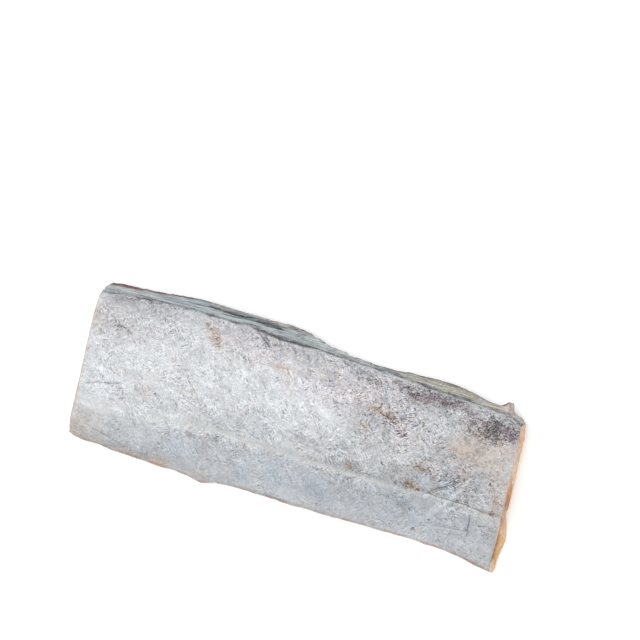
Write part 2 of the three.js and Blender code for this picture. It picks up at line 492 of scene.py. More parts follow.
@dataclass(frozen=True)
class FishForm:
    """Sizes and surfaces of the whole section."""

    thickness: float = 18.4
    depth: float = 62.0
    belly_power: float = 0.62
    back_power: float = 0.38
    belly_edge: float = 0.9
    back_edge: float = 1.3
    belly_height: float = 3.9
    back_height: float = 7.7
    lean: float = 5.6
    slant: float = 1.6
    tail_bow: Bands = ((9.0, 13.0, 1.0), (3.4, 6.0, 0.8))
    head_bow: Range = (0.26, 0.65)
    corner: float = 0.18
    corner_start: float = 58.8
    corner_span: float = 4.2
    belly_wall: Bands = ((14.0, 6.0, 1.6), (24.0, 2.0, -0.6))
    lip: float = 0.55
    lip_span: Stretch = (34.0, 42.0, 58.0, 62.0)
    tab: Bands = ((55.0, 3.4, 1.5),)
    tab_root: float = 8.0
    swell: float = 0.2
    swell_length: float = 47.0
    groove: float = 0.7
    groove_width: float = 1.1
    lateral_depth: float = 0.45
    lateral_width: float = 1.5

    def lens(self, share: Array) -> Array:
        """Works out how the thickness goes across the body: share^a * (1 - share)^b over its top value.

        Args:
            share: Shares of the way from the belly edge to the back.

        Returns:
            Half the thickness as a share of its greatest value.
        """
        a, b = self.belly_power, self.back_power
        widest = a / (a + b)
        return share**a * (1 - share) ** b / (widest**a * (1 - widest) ** b)

    def section(self, place: Array, share: Array) -> tuple[Array, Array, Array]:
        """Works out the body's cross-section.

        The middle plane rises by a quarter sine from the belly edge to the back, and half the thickness is
        the length of the hypotenuse over the lens form and the edge's own half thickness.

        Args:
            place: Places along the body.
            share: Shares of the way from the belly edge to the back.

        Returns:
            Depth above the belly, middle height and half thickness.
        """
        tab = bands(place, self.tab) * np.exp(-self.tab_root * share)
        depth = mix(curve_at(BELLY_LINE, place), curve_at(BACK_LINE, place), share) - tab
        height = mix(self.belly_height, self.back_height, np.sin(share * np.pi / 2))
        half = np.hypot(self.thickness / 2 * self.lens(share), mix(self.belly_edge, self.back_edge, share))
        return depth, height, half

    def flanks(self, place: Array, depth: Array, height: Array,
               half: Array) -> tuple[Array, Array]:
        """Works out the two flanks.

        The lateral furrow and the groove at the back are humps taken off both, and the lower flank is
        pressed flat where it would reach below the table.

        Args:
            place: Places along the body.
            depth: Depths above the belly.
            height: Heights of the middle plane.
            half: Half the thickness.

        Returns:
            Heights of the upper flank and of the lower one.
        """
        furrow = self.lateral_depth * hump(depth - curve_at(LATERAL_LINE, place), self.lateral_width)
        groove = self.groove * hump(depth - curve_at(BACK_LINE, place), self.groove_width)
        give = furrow + np.minimum(groove, half / 2)
        swell = self.swell * self.lens(np.clip(depth / self.depth, 0, 1))
        swell = swell * np.sin(2 * np.pi * (place + depth) / self.swell_length)
        return height + half - give + swell, np.maximum(height - half + give, 0)

    def cuts(self, depth: Array, level: Array) -> tuple[Array, Array]:
        """Works out where the two cuts run.

        Both lean towards the head as they near the belly and slant under from the upper flank to the lower.
        The tail-side one bows outwards by two humps low in the belly and is rounded at the back by a square.
        The head-side one bows by a sine, more at the upper skin, which reaches a lip further near the back.
        Its lower skin has a hump for the belly wall and a small notch above it.

        Args:
            depth: Depths above the belly.
            level: Shares of the way from the lower flank to the upper.

        Returns:
            Places of the tail-side cut and of the head-side cut.
        """
        shared = self.lean * (1 - depth / self.depth) + self.slant * (1 - level)
        corner = self.corner * np.clip(depth - self.corner_start, 0, self.corner_span) ** 2
        bow = mix(*self.head_bow, level) * np.sin(np.pi * np.clip(depth / self.depth, 0, 1))
        wall = bands(depth, self.belly_wall) * (1 - level)
        lip = self.lip * stretch(depth, *self.lip_span) * level**2
        return shared - bands(depth, self.tail_bow) + corner, BODY_LENGTH + shared + bow + wall + lip


# Materials.


def srgb(red: float, green: float, blue: float) -> tuple[float, float, float, float]:
    """Returns the linear colour of a shade given in 0 to 255."""
    return (*(((c / 255 + 0.055) / 1.055) ** 2.4 if c > 10 else c / 3295 for c in (red, green, blue)), 1.0)


class Value:
    """A number that changes over a surface, with the operators that the finishes use."""

    def __init__(self, bench: "Bench", socket: bpy.types.NodeSocket) -> None:
        """Keeps the socket that carries the number and the bench that it belongs to."""
        self.bench = bench
        self.socket = socket

    def maths(self, operation: str, *terms: Any) -> "Value":
        """Adds one Math node.

        Args:
            operation: The node's operation.
            *terms: Values or numbers, in the order of the node's sockets.

        Returns:
            The result.
        """
        node = self.bench.node("ShaderNodeMath", {"operation": operation}, dict(enumerate(terms)))
        return Value(self.bench, node.outputs[0])

    def __add__(self, other: Any) -> "Value":
        """Returns self + other."""
        return self.maths("ADD", self, other)

    def __sub__(self, other: Any) -> "Value":
        """Returns self - other."""
        return self.maths("SUBTRACT", self, other)

    def __rsub__(self, other: Any) -> "Value":
        """Returns other - self."""
        return self.maths("SUBTRACT", other, self)

    def __mul__(self, other: Any) -> "Value":
        """Returns self * other."""
        return self.maths("MULTIPLY", self, other)

    __radd__ = __add__
    __rmul__ = __mul__

    def larger(self, other: Any) -> "Value":
        """Returns the larger of the two."""
        return self.maths("MAXIMUM", self, other)

    def clamp(self) -> "Value":
        """Returns the value held between 0 and 1."""
        return self.maths("MINIMUM", self.larger(0.0), 1.0)

    def swing(self, share: float) -> "Value":
        """Returns a share of how far the noise lies from its middle."""
        return (self - 0.5) * share

    def step(self, low: float, high: float) -> "Value":
        """Adds a smooth step.

        Args:
            low: Where the step is 0. It may be the larger of the two.
            high: Where the step is 1.

        Returns:
            The step.
        """
        settings = {"interpolation_type": "SMOOTHSTEP"}
        sockets = {"Value": self, "From Min": low, "From Max": high, "To Min": 0.0, "To Max": 1.0}
        if low > high:
            sockets |= {"From Min": high, "From Max": low, "To Min": 1.0, "To Max": 0.0}
        return Value(self.bench, self.bench.node("ShaderNodeMapRange", settings, sockets).outputs[0])


class Bench:
    """Lays out the nodes of one material."""

    def __init__(self, name: str) -> None:
        """Starts a material with a bare surface shader.

        Args:
            name: The material's name.
        """
        self.material = bpy.data.materials.new(name)
        self.material.use_nodes = True
        self.tree = self.material.node_tree
        self.tree.nodes.clear()
        self.surface = self.node("ShaderNodeBsdfPrincipled")
        self.node("ShaderNodeOutputMaterial", {}, {"Surface": self.surface.outputs[0]})
        self.coordinates = self.node("ShaderNodeTexCoord").outputs["Object"]

    def node(self, kind: str, settings: dict | None = None, sockets: dict | None = None) -> bpy.types.Node:
        """Adds one node.

        Args:
            kind: The node's type.
            settings: The node's own properties, which are set first.
            sockets: Values, links or numbers for its inputs, by name or number.

        Returns:
            The node.
        """
        node = self.tree.nodes.new(kind)
        for key, value in (settings or {}).items():
            setattr(node, key, value)
        self.plug(node, sockets or {})
        return node

    def plug(self, node: bpy.types.Node, sockets: dict) -> None:
        """Feeds a node.

        Args:
            node: The node.
            sockets: Values, links or numbers for its inputs, by name or number.
        """
        for key, value in sockets.items():
            source = value.socket if isinstance(value, Value) else value
            if isinstance(source, bpy.types.NodeSocket):
                self.tree.links.new(source, node.inputs[key])
            else:
                node.inputs[key].default_value = source

    def attribute(self, name: str) -> Value:
        """Returns a number that the mesh holds at its points."""
        return Value(self, self.node("ShaderNodeAttribute", {"attribute_name": name}).outputs["Fac"])

    def grain(self, size: tuple[float, float, float], seed: int, turn: float = 0.0, detail: float = 2.0,
              curl: float = 0.0) -> Value:
        """Reads cloudy noise.

        Args:
            size: How large the grains are along the three axes, in millimetres.
            seed: Sets the noise apart from others of the same size.
            turn: How far the grains are turned about the upright axis, in degrees.
            detail: How many finer layers the noise has.
            curl: How much the grains are bent.

        Returns:
            The noise, about 0.5 on average, and rarely below 0.25 or above 0.75.
        """
        place = self.node("ShaderNodeMapping", {"vector_type": "TEXTURE"}, {
            "Vector": self.coordinates,
            "Location": (0.0137 * seed, 0.0071 * seed, 0.0193 * seed),
            "Rotation": (0.0, 0.0, math.radians(turn)),
            "Scale": tuple(length / METRE for length in size),
        })
        noise = self.node("ShaderNodeTexNoise", {"noise_dimensions": "3D"}, {
            "Vector": place.outputs[0], "Scale": 1.0, "Detail": detail, "Roughness": 0.55, "Distortion": curl,
        })
        return Value(self, noise.outputs[0])

    def line(self, name: str, grit: Value) -> Value:
        """Draws the thin lines whose signed distance and darkness the mesh holds.

        Args:
            name: Start of the names of the two attributes.
            grit: Noise that makes the lines waver and break.

        Returns:
            The lines' strength, from 0 to 1.
        """
        side = self.attribute(name + "_side") + grit.swing(1.1)
        gap = side.larger(0.0 - side)
        return (gap.step(0.45, 0.05) * self.attribute(name + "_ink") * (0.6 + grit)).clamp()

    def blend(self, share: Any, first: Any, second: Any) -> bpy.types.NodeSocket:
        """Returns the colour that lies that share of the way from the first to the second."""
        node = self.node("ShaderNodeMix", {"data_type": "RGBA"}, {0: share, 6: first, 7: second})
        return node.outputs[2]

    def shade(self, colour: Any, tone: Any) -> bpy.types.NodeSocket:
        """Returns the colour made lighter or darker by a factor."""
        node = self.node("ShaderNodeVectorMath", {"operation": "SCALE"}, {0: colour, "Scale": tone})
        return node.outputs[0]

    def bump(self, height: Any) -> bpy.types.NodeSocket:
        """Returns the normal that a relief gives whose height is in millimetres."""
        return self.node("ShaderNodeBump", {}, {"Height": height, "Distance": 1 / METRE}).outputs[0]


@dataclass(frozen=True)
class Dye:
    """How one kind of stain looks; one kind is painted shade where the fin meets the back.

    It has two shades, the size of its specks, how soft they are, how thickly they cover and how far they
    stand apart.
    """

    kind: Mark
    first: Colour
    second: Colour
    speck: float
    soft: float
    share: float
    gain: float


TINTS = (
    Dye(Mark.BLUE, (152, 166, 184), (160, 172, 186), 3.0, 1.4, 0.7, 3.0),
    Dye(Mark.LILAC, (178, 170, 180), (184, 174, 176), 2.6, 1.2, 0.65, 3.0),
    Dye(Mark.OLIVE, (120, 102, 76), (148, 134, 106), 0.9, 0.6, 0.85, 3.5),
    Dye(Mark.PEACH, (174, 157, 143), (166, 152, 142), 1.5, 1.0, 0.8, 3.0),
    Dye(Mark.RUST, (164, 142, 124), (142, 122, 110), 1.0, 0.7, 0.75, 3.0),
    Dye(Mark.MAROON, (78, 56, 64), (118, 95, 106), 0.8, 0.45, 0.9, 4.2),
    Dye(Mark.SOOT, (40, 35, 37), (84, 68, 68), 0.75, 0.3, 0.97, 5.6),
    # Painted shade in the groove where the fin meets the back, partly the fin base's own dark colour.
    Dye(Mark.CREASE, (66, 64, 72), (92, 92, 98), 0.7, 0.7, 0.82, 3.5),
)
# Dashes at the fin root: partly the fin base's own dark dots, partly painted shade where the fin meets the
# back.
DASH: Colour = (56, 50, 60)


def add_stains_and_crease_shade(bench: Bench, colour: Any, tone: Any, grit: Value) -> Any:
    """Lays the stains, and painted shade where the fin meets the back, over a colour, the lowest first.

    A stain shows where its strength and a noise of its own speck size add up to more than 1. The noise is
    three parts specks, drawn out in one direction, and two parts of clouds that are three times as large.

    Args:
        bench: The material's bench.
        colour: The colour below.
        tone: Factor that makes the stains lighter or darker.
        grit: Fine noise that lets the colour below glint through.

    Returns:
        The stained colour.
    """
    glint = grit.step(0.66, 0.44)
    for number, tint in enumerate(TINTS):
        strength = bench.attribute(tint.kind)
        long_speck = (1.7 * tint.speck, 0.75 * tint.speck, tint.speck)
        specks = bench.grain(long_speck, turn=47.0 * number - 30.0, seed=11 + number, curl=0.8)
        clouds = bench.grain((3.0 * tint.speck,) * 3, seed=51 + number)
        noise = 0.5 + (specks * 0.6 + clouds * 0.4).swing(tint.gain)
        cover = (0.5 + (noise + strength - 1.0) * (1 / tint.soft)).clamp() * (strength * 5.0).clamp()
        shade = bench.blend(clouds.step(0.4, 0.6), srgb(*tint.first), srgb(*tint.second))
        colour = bench.blend(cover * (0.35 + glint * 0.65) * tint.share, colour, bench.shade(shade, tone))
    return colour


@dataclass(frozen=True)
class SilverSkin:
    """Moist silver skin without scales: clouded, finely streaked and stained, with painted shade and painted
    highlights in its colour.
    """

    base: Colour = (181, 184, 187)
    cool: Colour = (171, 176, 180)
    warm: Colour = (178, 177, 178)
    bluish: Colour = (174, 179, 190)
    brownish: Colour = (187, 178, 172)
    # Painted shade along the creases.
    crease: Colour = (94, 96, 104)
    # Painted highlight on the lit folds.
    lit_fold: Colour = (188, 192, 195)
    ridge: Colour = (191, 192, 188)
    rim: Colour = (176, 142, 122)
    hem: Colour = (142, 98, 72)
    stroke_turns: tuple[float, float, float] = (-52.0, 38.0, -14.0)
    roughness: float = 0.42
    metallic: float = 0.18

    def material(self) -> bpy.types.Material:
        """Builds the skin's material.

        Returns:
            The material, whose tone is 1 plus small shares of cloud, streak and grit noises, raised by
            painted highlights and lowered by painted shade.
        """
        bench = Bench("silver_skin")
        broad = bench.grain((26.0, 18.0, 18.0), seed=1)
        cloud = bench.grain((7.5, 5.0, 6.0), turn=-18.0, seed=2, detail=3.0)
        mottle = bench.grain((2.8, 2.0, 2.2), turn=-30.0, seed=9, curl=0.8)
        grit = bench.grain((1.2, 1.0, 1.0), turn=-35.0, seed=5, curl=1.6)
        fine = bench.grain((0.7, 0.7, 0.7), seed=8, detail=1.0)
        hue = bench.grain((5.0, 4.0, 4.0), seed=6, detail=3.0)
        stroke = self.strokes(bench)
        coarse = bench.attribute(Mark.COARSE)
        dark = stroke.step(0.44, 0.34)
        bright = stroke.step(0.56, 0.68)
        fleck = bench.grain((0.9, 0.6, 0.8), turn=30.0, seed=12, detail=0.0).step(0.70, 0.78)
        drawn = stroke.swing(1.1) - dark * 0.16 + bright * 0.10
        detail = grit.swing(0.7) + fine.swing(0.8) + drawn * 0.85 - fleck * 0.3
        smooth = 1.0 - bench.attribute(Mark.PEACH) * 0.5
        cluster = bench.grain((9.0, 6.0, 7.0), turn=-20.0, seed=15, detail=1.0).step(0.36, 0.64)
        detail = detail * smooth * (0.76 + coarse * 0.6) * (0.62 + cluster * 0.7)
        detail = detail + (mottle - 0.5) * (0.2 + coarse * 0.6) + cloud.swing(0.3)
        # Painted highlights raise the tone (the gleam, partly the skin's own lighter tone, and the lit
        # folds); painted shade lowers it (the shade, partly the skin's own darker tone).
        lit_fold = bench.attribute("lit_fold")
        tone = 1.0 + broad.swing(0.2) + detail + bench.attribute(Mark.GLEAM) * 0.4 + lit_fold * 0.3
        tone = tone - bench.attribute(Mark.SHADE) * 0.42
        colour = bench.blend(hue.step(0.36, 0.64), srgb(*self.cool), srgb(*self.warm))
        colour = bench.blend(cloud.step(0.30, 0.66), colour, srgb(*self.base))
        tinge = bench.grain((2.4, 1.8, 2.0), seed=14, curl=1.0).step(0.42, 0.58)
        sheen = bench.blend(tinge, srgb(*self.bluish), srgb(*self.brownish))
        colour = bench.blend((coarse - 0.38).larger(0.05) * 0.85, colour, sheen)
        colour = bench.shade(colour, tone)
        colour = bench.blend(bench.attribute("ridge_line") * 0.68, colour, srgb(*self.ridge))
        edge = (bench.attribute("rim") * (0.4 + grit * 0.9)).clamp()
        colour = bench.blend(edge * 0.8, colour, srgb(*self.rim))
        hem = (bench.attribute("hem") * (0.6 + grit)).clamp()
        colour = bench.blend(hem * 0.85, colour, srgb(*self.hem))
        colour = add_stains_and_crease_shade(bench, colour, 1.0 + detail * 1.2, grit * 0.5 + fine * 0.5)
        # Painted shade along the creases, then the dashes at the fin root, partly the fin base's own dark
        # dots and partly painted shade.
        for name, shade in (("crease", self.crease), ("dash", DASH)):
            colour = bench.blend(bench.line(name, grit) * 0.8, colour, srgb(*shade))
        # Painted highlight on the lit folds, broken by grit.
        colour = bench.blend(lit_fold.step(0.4, 1.0) * (grit * 0.9), colour, srgb(*self.lit_fold))
        rough = self.roughness + grit.swing(0.35) + dark * 0.1
        height = stroke.swing(0.08) + grit.swing(0.06) + cloud.swing(0.18)
        bench.plug(bench.surface, {
            "Base Color": colour, "Roughness": rough, "Normal": bench.bump(height), "Metallic": self.metallic,
        })
        return bench.material

    def strokes(self, bench: Bench) -> Value:
        """Reads noise drawn out into thin strokes.

        Each patch of skin takes one of three directions, as a broad noise is low, middling or high there.
        Combed skin always takes the first.

        Args:
            bench: The material's bench.

        Returns:
            The noise, about 0.5 on average.
        """
        patch = bench.grain((9.0, 7.0, 7.0), seed=7)
        combed = bench.attribute(Mark.COMBED)
        first = (patch.step(0.49, 0.43) + combed).clamp()
        last = patch.step(0.53, 0.59) * (1.0 - combed)
        second = 1.0 - (first + last).clamp()
        grains = [bench.grain((2.0, 0.5, 1.6), turn=turn, seed=61 + number, detail=1.5, curl=0.9)
                  for number, turn in enumerate(self.stroke_turns)]
        return grains[0] * first + grains[1] * second + grains[2] * last


@dataclass(frozen=True)
class FinMembrane:
    """The fin's leathery membrane: blue-grey to olive, with fine lengthwise lines, and with painted shade and
    painted highlights.
    """

    base: Colour = (140, 149, 151)
    pale: Colour = (165, 171, 171)
    line: Colour = (92, 99, 104)
    strand: Colour = (42, 44, 50)
    fringe: Colour = (92, 64, 62)
    roughness: float = 0.45

    def material(self) -> bpy.types.Material:
        """Builds the fin's material.

        Returns:
            The material, with long thin noises for its lines.
        """
        bench = Bench("fin_membrane")
        lines = bench.grain((9.0, 0.34, 0.6), turn=3.0, seed=21, curl=0.2)
        stripes = bench.grain((16.0, 1.1, 1.2), turn=2.0, seed=22)
        grit = bench.grain((0.9, 0.6, 0.6), seed=23)
        colour = bench.blend(stripes.step(0.35, 0.65), srgb(*self.base), srgb(*self.pale))
        colour = bench.blend(lines.step(0.48, 0.34) * 0.8, colour, srgb(*self.line))
        relief = grit.swing(0.5) + lines.swing(1.3)
        # Painted shade lowers the tone and painted highlights raise it, partly the fin's own darker and
        # lighter tone.
        tone = 1.0 + relief - bench.attribute(Mark.SHADE) * 0.4 + bench.attribute(Mark.GLEAM) * 0.4
        colour = bench.shade(colour, tone)
        colour = add_stains_and_crease_shade(bench, colour, tone + relief * 0.6, grit)
        fringe = (bench.attribute("fringe") * (0.5 + grit)).clamp()
        colour = bench.blend(fringe, colour, srgb(*self.fringe))
        strand = (bench.attribute("strand") * (0.9 + grit.swing(1.4))).clamp()
        colour = bench.blend(strand, colour, srgb(*self.strand))
        # The dashes at the root: partly the fin base's own dark dots, partly painted shade where the fin
        # meets the back.
        colour = bench.blend(bench.line("dash", grit) * 0.85, colour, srgb(*DASH))
        rough = self.roughness + grit.swing(0.3)
        normal = bench.bump(lines.swing(0.25) + grit.swing(0.06))
        bench.plug(bench.surface, {"Base Color": colour, "Roughness": rough, "Normal": normal})
        return bench.material


@dataclass(frozen=True)
class CutFlesh:
    """Raw flesh on the cuts: tan to orange, moist, with fibres, bone, blood and painted shadows, and a dark
    gap between the belly walls whose darkness is painted shade.
    """

    tan: Colour = (214, 186, 160)
    orange: Colour = (206, 162, 124)
    deep: Colour = (182, 120, 70)
    wall: Colour = (206, 164, 110)
    bone: Colour = (220, 204, 184)
    blood: Colour = (130, 62, 46)
    # Painted shade in the gap between the belly walls.
    shaded_slit: Colour = (116, 78, 50)
    rim: Colour = (198, 182, 166)
    roughness: float = 0.5
    gloss: float = 0.22

    def material(self) -> bpy.types.Material:
        """Builds the flesh's material.

        Returns:
            The material, whose fibres are noises drawn out across the cut, and whose pale seams are the tops
            of a sine of the distance from the backbone.
        """
        bench = Bench("cut_flesh")
        fibre = bench.grain((1.0, 1.5, 0.7), seed=31, detail=3.0)
        streak = bench.grain((3.0, 3.6, 2.6), seed=34, curl=0.8)
        patch = bench.grain((5.0, 5.6, 5.0), seed=32)
        grit = bench.grain((0.6, 0.6, 0.6), seed=33)
        ring = bench.attribute("ring")
        seam = ring.maths("SINE", ring * 2.2 + grit.swing(1.6)).step(0.6, 1.0)
        colour = bench.blend(patch.step(0.38, 0.60), srgb(*self.tan), srgb(*self.orange))
        colour = bench.blend(seam * 0.4, colour, srgb(*self.bone))
        # The last of these, the gap between the belly walls, is painted shade.
        for name in ("deep", "wall", "bone", "blood", "shaded_slit"):
            colour = bench.blend(bench.attribute(name).clamp(), colour, srgb(*getattr(self, name)))
        spine = bench.attribute("spine") + grit.swing(0.5)
        colour = bench.blend(spine.step(1.1, 0.85), colour, srgb(*self.bone))
        colour = bench.blend(spine.step(0.55, 0.15) * 0.8, colour, srgb(*self.blood))
        tone = 1.0 + fibre.swing(0.8) + streak.swing(1.2) + grit.swing(0.5)
        # The cuts' painted shadows darken the tone.
        colour = bench.shade(colour, tone - bench.attribute(Mark.SHADE) * 0.4)
        edge = (bench.attribute("rim") * (0.6 + grit * 0.8)).clamp()
        colour = bench.blend(edge * 0.85, colour, srgb(*self.rim))
        bench.plug(bench.surface, {
            "Base Color": colour, "Normal": bench.bump(fibre.swing(0.25) + grit.swing(0.1)),
            "Roughness": self.roughness, "Specular IOR Level": self.gloss,
        })
        return bench.material


# Pieces.


